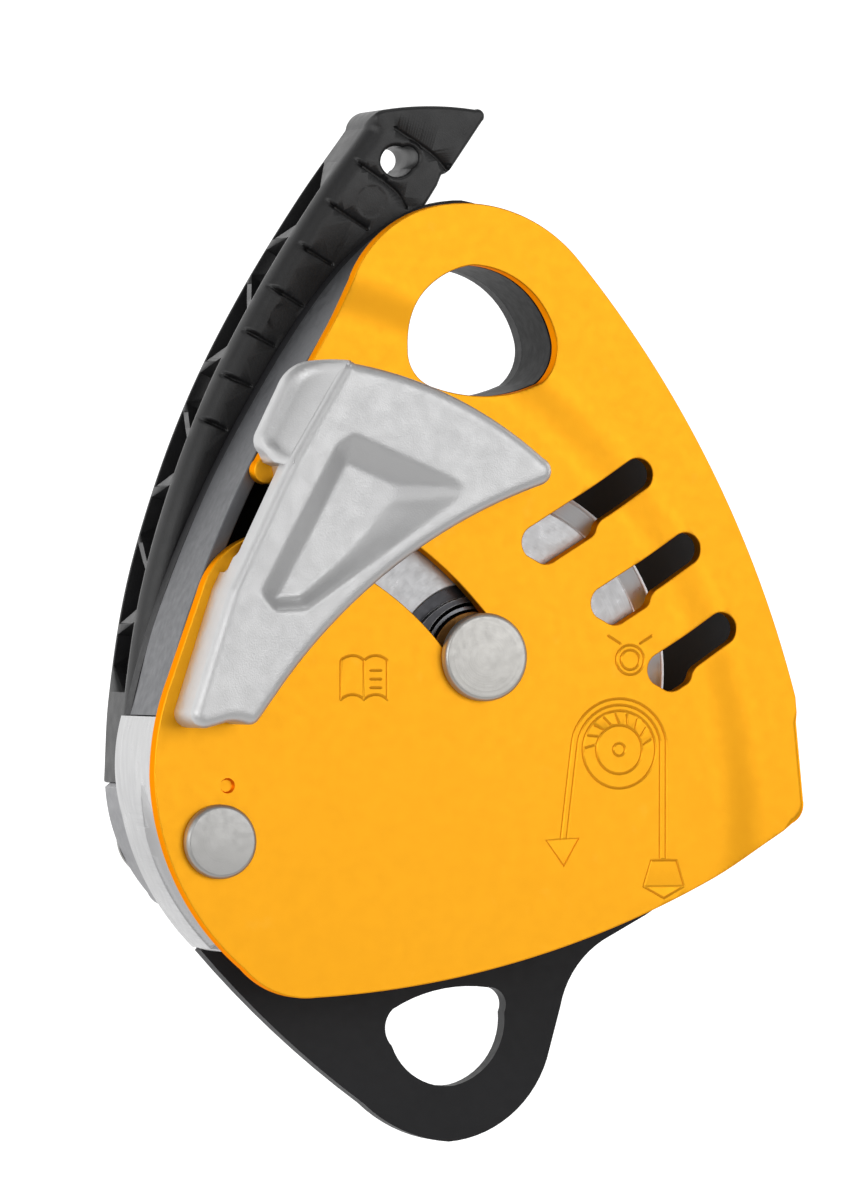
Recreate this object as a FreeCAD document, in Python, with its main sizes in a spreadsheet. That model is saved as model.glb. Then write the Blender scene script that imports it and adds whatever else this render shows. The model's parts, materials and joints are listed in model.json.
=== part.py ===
"""Rope-access descender / belay device with a swinging front side plate.

Frame: millimetres, +Z up, +X to the right and +Y to the rear when the orange plate faces the viewer.
The origin is the centre of the top attachment hole, midway between the two side plates.
"""
import FreeCAD
import Part
import math
import os
import re

from FreeCAD import Placement, Rotation, Vector

DIMENSIONS = {
    # axes, all parallel to Y
    "axle_x": -1.2, "axle_z": -71.9,
    "pivot_x": -62.6, "pivot_z": -112.2,
    "sheave_x": -0.4, "sheave_z": -75.4,
    "crank_radius": 18.0, "crank_angle": 78.3,
    # layers along Y
    "front_face": -15.0, "front_thickness": 4.0,
    "joggle_depth": 2.5, "joggle_start": 119.3, "joggle_run": 3.5,
    "plate_gap": 0.4, "rear_inner": 11.0, "rear_thickness": 4.5,
    "lever_near": 15.9, "lever_far": 20.3,
    "link_near": 20.6, "link_far": 23.6,
    "core_near": 24.4, "core_far": 30.0,
    "grip_near": 17.0, "grip_far": 34.0,
    # axle and pivot
    "axle_radius": 5.0, "axle_head_radius": 9.8, "slot_half_width": 6.2,
    "pin_radius": 4.5, "pin_head_radius": 8.2, "head_thickness": 2.5, "head_gap": 0.3,
    "head_edge": 0.7, "run_clearance": 0.05, "bush_wall": 2.0,
    # sheave and eccentric
    "hub_radius": 17.0, "hub_half_width": 9.8, "hub_spigot_radius": 12.0,
    "drive_radius": 9.0, "drive_flat": 7.5, "cam_bush_radius": 8.0, "bush_end": 15.0,
    "clutch_radius": 22.0, "clutch_half_width": 8.0,
    "groove_floor_radius": 31.0, "groove_floor_half": 3.2, "groove_mouth_half": 6.6,
    "cheek_flat_radius": 39.0, "sheave_radius": 44.8, "rim_half_width": 8.2,
    "sheave_half_width": 10.2, "sheave_rivet_radius": 1.8, "sheave_rivet_circle": 27.0,
    # brake block and shoe, concentric with the sheave
    "shoe_radius": 47.0, "shoe_thickness": 4.0, "shoe_half_width": 8.5,
    "dowel_radius": 1.5, "dowel_half_length": 8.0,
    # horn
    "horn_front": -29.0, "horn_base": 2.6, "tunnel_height": 3.4, "tunnel_margin": 0.7,
    "rivet_radius": 2.2,
    # lever linkage
    "link_half_width": 4.6, "link_pin_radius": 2.5, "lever_hub_radius": 12.5,
    "nut_radius": 7.2, "boss_radius": 7.4,
    # small parts
    "screw_radius": 2.0, "screw_head_radius": 3.6, "small_screw_radius": 0.9,
    "small_screw_head_radius": 1.4, "sink_depth": 2.2, "fit_gap": 0.02, "detent_x": -60.5, "detent_z": -100.0,
    "detent_radius": 1.7, "detent_spring_radius": 1.15, "spine_thickness": 3.0,
    "cover_far": 26.6, "cover_roof": 1.6, "cover_wall": 1.8, "cover_post": 4.0, "cover_head": 1.8,
    "spring_pocket_inner": 8.9, "spring_pocket_outer": 12.2, "spring_pocket_depth": 9.0,
}

SHEET = "Sheet"
BIG = 260.0

doc = FreeCAD.newDocument("descender")
sheet = doc.addObject("Spreadsheet::Sheet", SHEET)
for row, (alias, value) in enumerate(DIMENSIONS.items(), start=1):
    sheet.set("A%d" % row, alias)
    sheet.set("B%d" % row, str(value))
    sheet.setAlias("B%d" % row, alias)
doc.recompute()

SUBPARTS = []
TERM = r"([+-]?)\s*(?:([0-9.]+)\s*\*\s*)?([a-z_]+[a-z0-9_]*|[0-9.]+)"


# ---------------------------------------------------------------- expressions and values
def bound(expression):
    """Turn 'rear_inner + rear_thickness' into an expression on the spreadsheet."""
    return re.sub(r"[a-z_]+[a-z0-9_]*", lambda m: SHEET + "." + m.group(0), str(expression))


def value(expression):
    """The same expression as a number of millimetres."""
    return float(sum_terms(str(expression)))


def sum_terms(expression):
    """Add and subtract the terms of an expression whose words are dimensions."""
    total = 0.0
    for sign, factor, word in re.findall(TERM, expression):
        term = DIMENSIONS[word] if word in DIMENSIONS else float(word)
        term *= float(factor) if factor else 1.0
        total += -term if sign == "-" else term
    return total


def centre(name):
    """Centre of one of the axes as (x, z)."""
    return DIMENSIONS[name + "_x"], DIMENSIONS[name + "_z"]


def polar(at, radius, degrees):
    """Point at a radius and an angle, anticlockwise from +X as seen from the front."""
    angle = math.radians(degrees)
    return at[0] + radius * math.cos(angle), at[1] + radius * math.sin(angle)


AXLE, PIVOT, SHEAVE = centre("axle"), centre("pivot"), centre("sheave")
DETENT = centre("detent")
AXLE_FROM_PIVOT = math.hypot(AXLE[0] - PIVOT[0], AXLE[1] - PIVOT[1])
AXLE_ANGLE = math.degrees(math.atan2(AXLE[1] - PIVOT[1], AXLE[0] - PIVOT[0]))
CRANK_PIN = polar(PIVOT, DIMENSIONS["crank_radius"], DIMENSIONS["crank_angle"])
LEVER_PIN = polar(AXLE, DIMENSIONS["crank_radius"], DIMENSIONS["crank_angle"])


# ---------------------------------------------------------------- outlines in the X-Z plane
class Outline:
    """A closed line of straight runs, arcs and splines, written as (x, z) points."""

    def __init__(self, x, z):
        self.first = self.last = Vector(x, z, 0)
        self.edges = []

    def line(self, x, z):
        end = Vector(x, z, 0)
        self.edges.append(Part.LineSegment(self.last, end))
        self.last = end
        return self

    def arc(self, mid_x, mid_z, x, z):
        end = Vector(x, z, 0)
        self.edges.append(Part.Arc(self.last, Vector(mid_x, mid_z, 0), end))
        self.last = end
        return self

    def around(self, at, radius, start, end):
        """Arc about a centre, running from one angle to another."""
        middle = polar(at, radius, (start + end) / 2)
        finish = polar(at, radius, end)
        return self.arc(middle[0], middle[1], finish[0], finish[1])

    def spline(self, points):
        curve = Part.BSplineCurve()
        curve.interpolate([self.last] + [Vector(x, z, 0) for x, z in points])
        self.edges.append(curve)
        self.last = Vector(points[-1][0], points[-1][1], 0)
        return self

    def close(self):
        if (self.last - self.first).Length > 1e-6:
            self.line(self.first.x, self.first.y)
        return self.edges


def circle(at, radius):
    return [Part.Circle(Vector(at[0], at[1], 0), Vector(0, 0, 1), radius)]


def circles(points, radius):
    """A circle of one radius about each point."""
    return [circle(at, radius)[0] for at in points]


def box_outline(x_low, z_low, x_high, z_high):
    return Outline(x_low, z_low).line(x_high, z_low).line(x_high, z_high).line(x_low, z_high).close()


# the left edge shared by the rear plate and the spine, from the lobe down to the brake block
SPINE_EDGE = [(-20.0, 19.7), (-30.0, 9.0), (-42.2, -8.8), (-56.6, -34.6), (-68.6, -63.2), (-74.6, -84.6)]


def offset_points(points, distance):
    """Move each point of a line sideways, to the left of its direction of travel."""
    moved = []
    for index, (x, z) in enumerate(points):
        before = points[max(index - 1, 0)]
        after = points[min(index + 1, len(points) - 1)]
        run = math.hypot(after[0] - before[0], after[1] - before[1])
        side_x, side_z = -(after[1] - before[1]) / run, (after[0] - before[0]) / run
        moved.append((x + side_x * distance, z + side_z * distance))
    return moved


def front_plate_outline():
    half = DIMENSIONS["slot_half_width"]
    slot_mouth = polar(PIVOT, AXLE_FROM_PIVOT - half, 83.5)
    path = Outline(74.6, -86.5).line(76.3, -104.0).arc(75.9, -107.2, 73.6, -109.4)
    path.arc(20.5, -135.4, -40.0, -146.7).arc(-50.2, -145.0, -56.5, -140.3)
    path.arc(-71.3, -121.6, -77.3, -98.0).arc(-76.3, -87.2, -73.2, -76.4).line(-66.4, -57.4)
    path.arc(-62.0, -49.8, slot_mouth[0], slot_mouth[1])
    path.around(PIVOT, AXLE_FROM_PIVOT - half, 83.5, AXLE_ANGLE)
    path.around(AXLE, half, AXLE_ANGLE + 180, AXLE_ANGLE + 360)
    path.around(PIVOT, AXLE_FROM_PIVOT + half, AXLE_ANGLE, 81.0)
    path.arc(-54.2, -31.6, -53.2, -28.6).line(-30.6, 11.2)
    path.arc(-21.3, 23.3, -8.0, 28.3).arc(9.5, 25.7, 22.6, 16.0).arc(53.2, -28.5, 74.1, -81.0)
    return path.close()


def attachment_hole_outline():
    path = Outline(-18.6, -4.0).arc(-14.6, 8.0, -2.5, 14.8).arc(8.6, 11.2, 16.9, -0.5)
    path.arc(17.0, -6.0, 13.5, -11.2).arc(0.0, -14.2, -12.8, -12.3).arc(-17.2, -9.0, -18.6, -4.0)
    return path.close()


def becket_hole_outline():
    path = Outline(-13.2, -150.6).arc(-2.5, -146.4, 9.2, -146.0).arc(12.9, -147.7, 13.2, -151.6)
    path.arc(9.6, -162.9, 1.5, -167.8).arc(-6.8, -166.4, -13.4, -158.8).arc(-15.0, -154.6, -13.2, -150.6)
    return path.close()


def vent_outline(x, z, length, step):
    """A slanted vent: narrow above the step, wider below it, with a cut lower end."""
    slant = math.radians(31.5)

    def at(along, across):
        return (x + along * math.cos(slant) - across * math.sin(slant),
                z + along * math.sin(slant) + across * math.cos(slant))

    def line(path, along, across):
        path.line(*at(along, across))

    def arc(path, mid, end):
        path.arc(*(at(*mid) + at(*end)))

    narrow, wide = -7.3, -9.35
    path = Outline(*at(0.5, 0))
    line(path, length, 0)
    arc(path, (length - narrow / 2, narrow / 2), (length, narrow))
    line(path, step + 2.2, narrow)
    line(path, step - 2.0, wide)
    line(path, 1.4, wide)
    arc(path, (-0.7, -9.0), (-2.0, -7.9))
    line(path, -3.7, -4.9)
    arc(path, (-3.0, -1.5), (0.5, 0))
    return path.close()


VENTS = [(9.9, -43.3, 28.7, 13.4), (26.2, -56.8, 22.9, 9.3), (39.6, -71.6, 17.2, 5.2)]


def rear_plate_outline():
    path = Outline(-58.2, -137.0).arc(-40.2, -155.2, -20.0, -171.6).arc(-11.0, -177.6, 0.0, -180.4)
    path.arc(14.5, -174.9, 23.4, -162.2).line(26.6, -150.5).arc(30.3, -141.8, 38.5, -134.8)
    path.line(47.0, -130.2).arc(59.0, -122.7, 70.5, -115.4).arc(75.8, -111.0, 77.4, -104.0)
    path.line(76.8, -88.0).arc(57.0, -29.0, 23.5, 17.5).arc(14.5, 25.9, 3.0, 30.1)
    path.arc(-4.0, 29.2, -10.5, 26.1).spline(SPINE_EDGE)
    path.line(-71.3, -84.6).arc(-72.8, -95.0, -71.3, -105.8).arc(-66.5, -118.6, -55.4, -133.2)
    return path.close()


def spine_outline():
    outer = [(-10.5, 26.1)] + SPINE_EDGE
    inner = offset_points(outer, DIMENSIONS["spine_thickness"])
    inner[-1] = (outer[-1][0] + DIMENSIONS["spine_thickness"], outer[-1][1] + 0.9)
    inner.reverse()
    path = Outline(*outer[0]).spline(outer[1:]).line(*inner[0]).spline(inner[1:])
    return path.close()


def spacer_outline():
    """Block between the plates around the attachment hole, inside the spine."""
    inner = offset_points([(-10.5, 26.1)] + SPINE_EDGE[:4], DIMENSIONS["spine_thickness"] + 0.15)
    path = Outline(*inner[3]).spline([inner[2], inner[1], inner[0]])
    path.arc(-2.0, 27.4, 4.0, 27.5).arc(13.5, 23.3, 21.0, 14.5).arc(30.0, 1.6, 36.5, -9.0)
    path.arc(34.0, -20.0, 27.0, -29.4)
    path.around(SHEAVE, 53.5, 59.2, 124.0)
    return path.close()


def block_outline(inset):
    """Brake block seen from the front, its inner face concentric with the sheave."""
    face = DIMENSIONS["shoe_radius"] + DIMENSIONS["shoe_thickness"] + inset
    top, bottom = polar(SHEAVE, face, 190.6), polar(SHEAVE, face, 233.0)
    path = Outline(-75.4, -84.9).arc(-76.9, -95.0, -75.3, -106.7).arc(-70.3, -120.8, -58.9, -136.3)
    path.arc(-54.0, -136.8, -49.5, -133.6).line(bottom[0], bottom[1])
    path.around(SHEAVE, face, 233.0, 190.6)
    path.line(-54.5, top[1] + 0.8)
    return path.close()


def block_flange_outline():
    """Strip of the block that wraps the cut-back edge of the rear plate."""
    path = Outline(-75.4, -84.9).arc(-76.9, -95.0, -75.3, -106.7).arc(-70.3, -120.8, -58.9, -136.3)
    path.line(-55.75, -133.6).arc(-66.8, -118.8, -71.5, -105.9).arc(-73.0, -95.0, -71.5, -84.9)
    return path.close()


def shoe_outline():
    inner, outer = DIMENSIONS["shoe_radius"], DIMENSIONS["shoe_radius"] + DIMENSIONS["shoe_thickness"] - 0.1
    path = Outline(*polar(SHEAVE, inner, 193.0)).around(SHEAVE, inner, 193.0, 231.0)
    path.line(*polar(SHEAVE, outer, 231.0)).around(SHEAVE, outer, 231.0, 193.0)
    return path.close()


def horn_outline():
    path = Outline(-38.0, -7.6).arc(-12.0, -14.6, 8.6, -27.0).arc(10.6, -30.6, 8.0, -33.8)
    path.arc(-22.5, -50.0, -53.6, -83.6).arc(-55.6, -86.2, -58.4, -86.4).line(-68.6, -86.6)
    path.arc(-72.0, -85.0, -72.2, -81.6).line(-64.0, -56.6).line(-50.6, -29.0)
    return path.close()


def horn_base_outline():
    path = Outline(-40.4, -6.4).arc(-36.4, -6.9, -26.0, -9.6).arc(-8.0, -18.0, 6.0, -32.0)
    path.arc(4.4, -37.6, -2.0, -40.4).arc(-28.0, -55.0, -54.0, -83.6).arc(-56.0, -86.0, -58.8, -86.2)
    path.line(-68.0, -86.4).arc(-71.4, -84.6, -71.4, -81.4).line(-63.0, -56.0).line(-55.2, -37.0)
    path.line(-52.6, -27.0)
    return path.close()


def groove_outline():
    """The part of the horn where the rope groove undercuts the wing, along its upper left side."""
    path = Outline(-62.0, -34.0).line(-45.5, -33.5).arc(-35.0, -24.0, -31.0, -15.5).line(-20.0, 4.0)
    path.line(-62.0, 4.0)
    return path.close()


def horn_pocket_outline():
    path = Outline(-34.6, -22.6).arc(-33.2, -20.4, -30.0, -20.6).line(-5.4, -33.0)
    path.arc(-5.0, -35.4, -7.0, -36.2).line(-45.0, -61.0).arc(-49.4, -62.4, -50.4, -58.8)
    return path.close()


GRIP_EDGE = [(-28.5, 30.3), (-41.7, 9.6), (-53.2, -12.0), (-62.2, -34.4), (-68.9, -57.5), (-72.7, -81.5),
             (-73.7, -99.3)]


def grip_outline():
    path = Outline(-16.8, 46.4).spline(GRIP_EDGE).line(-66.2, -92.4).line(-62.8, -87.0).line(-47.8, -79.5)
    path.spline([(-43.5, -52.0), (-35.0, -28.0), (-22.0, -3.0), (-9.5, 19.2), (-0.4, 33.6)])
    path.line(0.6, 36.0).line(2.3, 36.6).line(10.2, 48.0).arc(10.6, 50.2, 8.6, 50.8)
    path.arc(-2.7, 51.4, -12.6, 50.5).arc(-15.4, 49.2, -16.8, 46.4)
    return path.close()


def truss_outline():
    """Hollow cut into the outer side of the grip, from the crown down to the core."""
    outer = offset_points([(-16.8, 46.4)] + GRIP_EDGE[:6], -3.0)
    inner = offset_points([(-16.8, 46.4)] + GRIP_EDGE[:6], 8.5)
    inner.reverse()
    path = Outline(*outer[0]).spline(outer[1:]).line(*inner[0]).spline(inner[1:])
    return path.close()


def tang_outline(margin):
    """The arm of the metal core that runs up inside the grip."""
    path = Outline(-58.0 - margin, -90.0).line(-57.0 - margin, -62.0).line(-43.4 - margin, -24.0)
    path.arc(-40.0, -20.8 + margin, -37.4 + margin, -25.0).line(-50.0 + margin, -62.0)
    path.line(-50.6 + margin, -90.0)
    return path.close()


def core_outline():
    path = Outline(-74.5, -100.9).arc(-72.5, -111.0, -64.6, -124.6).arc(-60.0, -127.6, -55.4, -124.4)
    path.arc(-49.6, -118.6, -49.4, -110.0).line(-52.7, -95.6).around(CRANK_PIN, 6.3, 0.0, 140.0)
    path.line(-66.4, -94.3)
    return path.close()


def core_flank_outline():
    """Outer wall that joins the two layers of the core clear of the link."""
    path = Outline(-74.5, -100.9).arc(-72.5, -111.0, -64.6, -124.6).line(-63.6, -119.6)
    path.arc(-70.0, -112.0, -68.8, -96.2)
    return path.close()


def link_outline():
    half = DIMENSIONS["link_half_width"]
    path = Outline(*polar(CRANK_PIN, half, AXLE_ANGLE + 90))
    path.around(CRANK_PIN, half, AXLE_ANGLE + 90, AXLE_ANGLE + 270)
    path.line(*polar(LEVER_PIN, half, AXLE_ANGLE - 90))
    path.around(LEVER_PIN, half, AXLE_ANGLE - 90, AXLE_ANGLE + 90)
    return path.close()


def lever_outline():
    hub, eye = DIMENSIONS["lever_hub_radius"], 5.4
    side = DIMENSIONS["crank_angle"]
    path = Outline(*polar(AXLE, hub, side + 75)).around(AXLE, hub, side + 75, side + 285)
    path.line(*polar(LEVER_PIN, eye, side - 80)).around(LEVER_PIN, eye, side - 80, side + 80)
    return path.close()


def spiral_outline(at, radius, thickness, pitch):
    """Strip wound one and a half turns: half circles about two centres half a pitch apart."""
    beside = (at[0] + pitch / 2, at[1])
    half_turns = [(at, 0.0, 0, 180), (beside, pitch / 2, 180, 360), (at, pitch, 0, 180)]
    path = Outline(at[0] + radius, at[1])
    for middle, growth, start, end in half_turns:
        path.around(middle, radius + growth, start, end)
    path.line(at[0] - radius - pitch - thickness, at[1])
    for middle, growth, start, end in reversed(half_turns):
        path.around(middle, radius + thickness + growth, end, start)
    return path.close()


def cover_outline(inset):
    """Outline of the rear cover, which clears the sweep of the lever and the link."""
    crown, side = 27.0 - inset, 21.5 - inset
    path = Outline(-38.5 + inset, -59.0).arc(-37.5 + inset, -56.2 - inset, -35.0, -55.2 - inset)
    path.line(*polar(AXLE, crown, 115.0)).around(AXLE, crown, 115.0, 55.0)
    path.line(*polar(AXLE, side, 20.0)).around(AXLE, side, 20.0, -85.0)
    path.line(-34.0, -100.8 + inset).arc(-37.6 + inset, -100.2 + inset, -38.5 + inset, -97.0)
    return path.close()


COVER_SCREWS = [(-34.0, -60.2), (-34.0, -95.8), polar(AXLE, 17.3, -62.0), polar(AXLE, 22.0, 42.0)]


# ---------------------------------------------------------------- document objects
def new_body(name):
    return doc.addObject("PartDesign::Body", name)


def origin_plane(body, role):
    return next(feature for feature in body.Origin.OriginFeatures if feature.Role == role)


def add_sketch(body, name, geometry, level):
    """Sketch facing the viewer on the plane y = level; its own axes are X and Z."""
    sketch = body.newObject("Sketcher::SketchObject", name)
    sketch.AttachmentSupport = [(origin_plane(body, "XZ_Plane"), "")]
    sketch.MapMode = "FlatFace"
    sketch.addGeometry(geometry, False)
    sketch.setExpression("AttachmentOffset.Base.z", "-(" + bound(level) + ")")
    return sketch


def add_pad(body, name, geometry, near, far):
    """Solid between the planes y = near and y = far."""
    sketch = add_sketch(body, name + "_sketch", geometry, near)
    pad = body.newObject("PartDesign::Pad", name)
    pad.Profile = sketch
    pad.Reversed = True
    pad.setExpression("Length", "(" + bound(far) + ") - (" + bound(near) + ")")
    return pad


def add_pocket(body, name, geometry, near, far):
    """Cut between the planes y = near and y = far, checked to remove something."""
    doc.recompute()
    volume = body.Shape.Volume
    sketch = add_sketch(body, name + "_sketch", geometry, near)
    pocket = body.newObject("PartDesign::Pocket", name)
    pocket.Profile = sketch
    pocket.setExpression("Length", "(" + bound(far) + ") - (" + bound(near) + ")")
    doc.recompute()
    if body.Shape.Volume >= volume - 1e-3:
        raise RuntimeError(name + " cuts nothing")
    return pocket


def add_joggled_slab(body, name, offset, far):
    """Slab about the plate pivot whose front steps back beyond the joggle radius."""
    plate = far == "front_face + front_thickness"
    start, run = value("joggle_start") - (0.0 if plate else 1.8), value("joggle_run")
    face, back = value("front_face"), value("front_face + joggle_depth")
    front, step_front, rear = face + offset, back + offset, value(far)
    points = [(0, front), (start, front), (start + run, step_front), (BIG, step_front)]
    if plate:
        lift = value("joggle_depth")
        points += [(BIG, rear + lift), (start + run - 0.9, rear + lift), (start - 0.9, rear), (0, rear)]
    else:
        points += [(BIG, rear), (0, rear)]
    sketch = body.newObject("Sketcher::SketchObject", name + "_sketch")
    sketch.AttachmentSupport = [(origin_plane(body, "XY_Plane"), "")]
    sketch.MapMode = "FlatFace"
    corners = [Vector(radius, y, 0) for radius, y in points]
    closed = zip(corners, corners[1:] + corners[:1])
    sketch.addGeometry([Part.LineSegment(a, b) for a, b in closed], False)
    revolution = body.newObject("PartDesign::Revolution", name)
    revolution.Profile = sketch
    revolution.ReferenceAxis = (sketch, ["V_Axis"])
    revolution.Angle = 360
    return revolution


def place_on_axis(thing, axis):
    thing.setExpression("Placement.Base.x", bound(axis + "_x"))
    thing.setExpression("Placement.Base.z", bound(axis + "_z"))


def relative(geometry, at):
    """The outline measured from an axis, for a body placed on that axis."""
    for edge in geometry:
        edge.translate(Vector(-at[0], -at[1], 0))
    return geometry


def trim_to(body, name, geometry):
    """Cut away everything outside an outline."""
    return add_pocket(body, name, circle((0, 0), BIG + 40) + geometry, -60, 60)


def cylinder(name, axis, radius, near, far):
    """Round bar along Y on a named axis or at an (x, z) point."""
    bar = doc.addObject("Part::Cylinder", name)
    bar.Placement = Placement(Vector(0, 0, 0), Rotation(Vector(1, 0, 0), -90))
    if isinstance(axis, str):
        place_on_axis(bar, axis)
    else:
        bar.Placement.Base = Vector(axis[0], 0, axis[1])
    bar.setExpression("Radius", bound(radius))
    bar.setExpression("Placement.Base.y", bound(near))
    bar.setExpression("Height", "(" + bound(far) + ") - (" + bound(near) + ")")
    return bar


def cone(name, axis, near_radius, far_radius, near, far):
    """Truncated cone along Y, for bevelled heads."""
    shape = doc.addObject("Part::Cone", name)
    shape.Placement = Placement(Vector(0, 0, 0), Rotation(Vector(1, 0, 0), -90))
    place_on_axis(shape, axis)
    shape.setExpression("Radius1", bound(near_radius))
    shape.setExpression("Radius2", bound(far_radius))
    shape.setExpression("Placement.Base.y", bound(near))
    shape.setExpression("Height", "(" + bound(far) + ") - (" + bound(near) + ")")
    return shape


def fuse(name, shapes):
    union = doc.addObject("Part::MultiFuse", name)
    union.Shapes = shapes
    return union


def cut(name, base, tool):
    result = doc.addObject("Part::Cut", name)
    result.Base = base
    result.Tool = tool
    return result


def group(name, shapes):
    """Identical fasteners as one node of separate solids."""
    compound = doc.addObject("Part::Compound", name)
    compound.Links = shapes
    return compound


def deliver(thing, label):
    thing.Label = label
    SUBPARTS.append(thing)
    return thing


def ring(label, axis, inner, outer, near, far):
    """Plain tube along Y."""
    outside = cylinder(label + "_outside", axis, outer, near, far)
    inside = cylinder(label + "_inside", axis, inner, near + " - 1", far + " + 1")
    return deliver(cut(label + "_tube", outside, inside), label)


def revolved(label, axis, points):
    """Body of revolution about an axis along Y; points are (radius, y)."""
    body = new_body(label)
    sketch = body.newObject("Sketcher::SketchObject", label + "_profile")
    sketch.AttachmentSupport = [(origin_plane(body, "XY_Plane"), "")]
    sketch.MapMode = "FlatFace"
    corners = [Vector(radius, y, 0) for radius, y in points]
    closed = zip(corners, corners[1:] + corners[:1])
    sketch.addGeometry([Part.LineSegment(a, b) for a, b in closed], False)
    revolution = body.newObject("PartDesign::Revolution", label + "_revolution")
    revolution.Profile = sketch
    revolution.ReferenceAxis = (sketch, ["V_Axis"])
    revolution.Angle = 360
    place_on_axis(body, axis)
    return body


# ---------------------------------------------------------------- the fixed frame
BLOCK_SCREWS = [(-57.0, -92.5), (-48.5, -122.5)]
SPACER_SCREWS = [(-24.0, -11.0), (24.5, -12.0), (8.0, 21.5)]
FRAME_SCREWS = BLOCK_SCREWS + SPACER_SCREWS
SPINE_SCREWS = offset_points(SPINE_EDGE, DIMENSIONS["spine_thickness"] / 2)[2:5]
SHOE_SEAT = DIMENSIONS["shoe_radius"] + DIMENSIONS["shoe_thickness"] - 0.05
SHOE_DOWELS = [polar(SHEAVE, SHOE_SEAT, 199.0), polar(SHEAVE, SHOE_SEAT, 225.0)]


def make_rear_side_plate():
    body = new_body("rear_plate_body")
    add_pad(body, "rear_plate", rear_plate_outline(), "rear_inner", "rear_inner + rear_thickness")
    holes = attachment_hole_outline() + becket_hole_outline()
    holes += circle(AXLE, value("hub_spigot_radius + 2 * run_clearance"))
    holes += circle(PIVOT, value("pin_radius + fit_gap"))
    holes += circles(FRAME_SCREWS + COVER_SCREWS, value("screw_radius + fit_gap"))
    holes += circles(SPINE_SCREWS, value("small_screw_radius + fit_gap"))
    add_pocket(body, "rear_plate_holes", holes, "rear_inner - 1", "rear_inner + rear_thickness + 1")
    sinks = circles(FRAME_SCREWS, value("screw_head_radius + fit_gap"))
    sinks += circles(SPINE_SCREWS, value("small_screw_head_radius + fit_gap"))
    add_pocket(body, "rear_plate_sinks", sinks, "rear_inner + rear_thickness - sink_depth",
               "rear_inner + rear_thickness + 1")
    deliver(body, "rear_side_plate")


def make_side_spine():
    body = new_body("spine_body")
    add_joggled_slab(body, "spine_slab", value("front_thickness + plate_gap"), "rear_inner")
    trim_to(body, "spine_trim", relative(spine_outline(), PIVOT))
    place_on_axis(body, "pivot")
    holes = circles(SPINE_SCREWS, value("small_screw_radius + fit_gap"))
    add_pocket(body, "spine_screw_holes", relative(holes, PIVOT), "rear_inner - 8", "rear_inner + 1")
    deliver(body, "side_spine")


def make_top_spacer():
    body = new_body("spacer_body")
    near = "front_face + joggle_depth + front_thickness + plate_gap"
    add_pad(body, "spacer", spacer_outline(), near, "rear_inner")
    add_pocket(body, "spacer_hole", attachment_hole_outline(), near + " - 1", "rear_inner + 1")
    holes = circles(SPACER_SCREWS, value("screw_radius + fit_gap"))
    add_pocket(body, "spacer_screw_holes", holes, "rear_inner - 12", "rear_inner + 1")
    deliver(body, "top_spacer")


def make_brake_block():
    body = new_body("block_body")
    near = "front_face + front_thickness + plate_gap"
    add_pad(body, "block", block_outline(0.0), near, "rear_inner")
    add_pad(body, "block_flange", block_flange_outline(), "rear_inner", "rear_inner + rear_thickness")
    bore = circle(PIVOT, value("pin_radius + fit_gap"))
    add_pocket(body, "block_bore", bore, near + " - 1", "rear_inner + 1")
    holes = circles(BLOCK_SCREWS, value("screw_radius + fit_gap"))
    add_pocket(body, "block_screw_holes", holes, "rear_inner - 12", "rear_inner + 1")
    dowels = circles(SHOE_DOWELS, value("dowel_radius + fit_gap"))
    add_pocket(body, "block_dowel_holes", dowels, near + " - 1", "dowel_half_length")
    seat = circle(DETENT, value("detent_radius + 0.1"))
    add_pocket(body, "detent_bore", seat, near + " - 1", near + " + 8")
    deliver(body, "brake_block")


def make_brake_shoe():
    """Hardened wear plate facing the sheave, keyed to the block by two dowels."""
    body = new_body("shoe_body")
    add_pad(body, "shoe", shoe_outline(), "-shoe_half_width", "shoe_half_width")
    dowels = circles(SHOE_DOWELS, value("dowel_radius + fit_gap"))
    add_pocket(body, "shoe_dowel_holes", dowels, "-shoe_half_width - 1", "dowel_half_length")
    deliver(body, "brake_shoe")


def make_headed_shaft(label, axis, radius, head_radius, tail):
    """Mushroom-headed shaft: bevelled head in front of the plate, plain shank behind it."""
    near = "front_face - head_gap - head_thickness"
    far = "front_face - head_gap"
    edge = near + " + head_edge"
    bevel = cone(label + "_bevel", axis, head_radius + " - head_edge", head_radius, near, edge)
    head = cylinder(label + "_head", axis, head_radius, edge, far)
    shank = cylinder(label + "_shank", axis, radius, far + " - 0.5", tail)
    deliver(fuse(label + "_solid", [bevel, head, shank]), label)


def make_screw(label, at, radius, head_radius, near, neck, far):
    """Plain screw along Y: shank from near to neck, head from neck to far."""
    shank = cylinder(label + "_shank", at, radius, near, neck)
    head = cylinder(label + "_head", at, head_radius, neck, far)
    return fuse(label, [shank, head])


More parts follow.
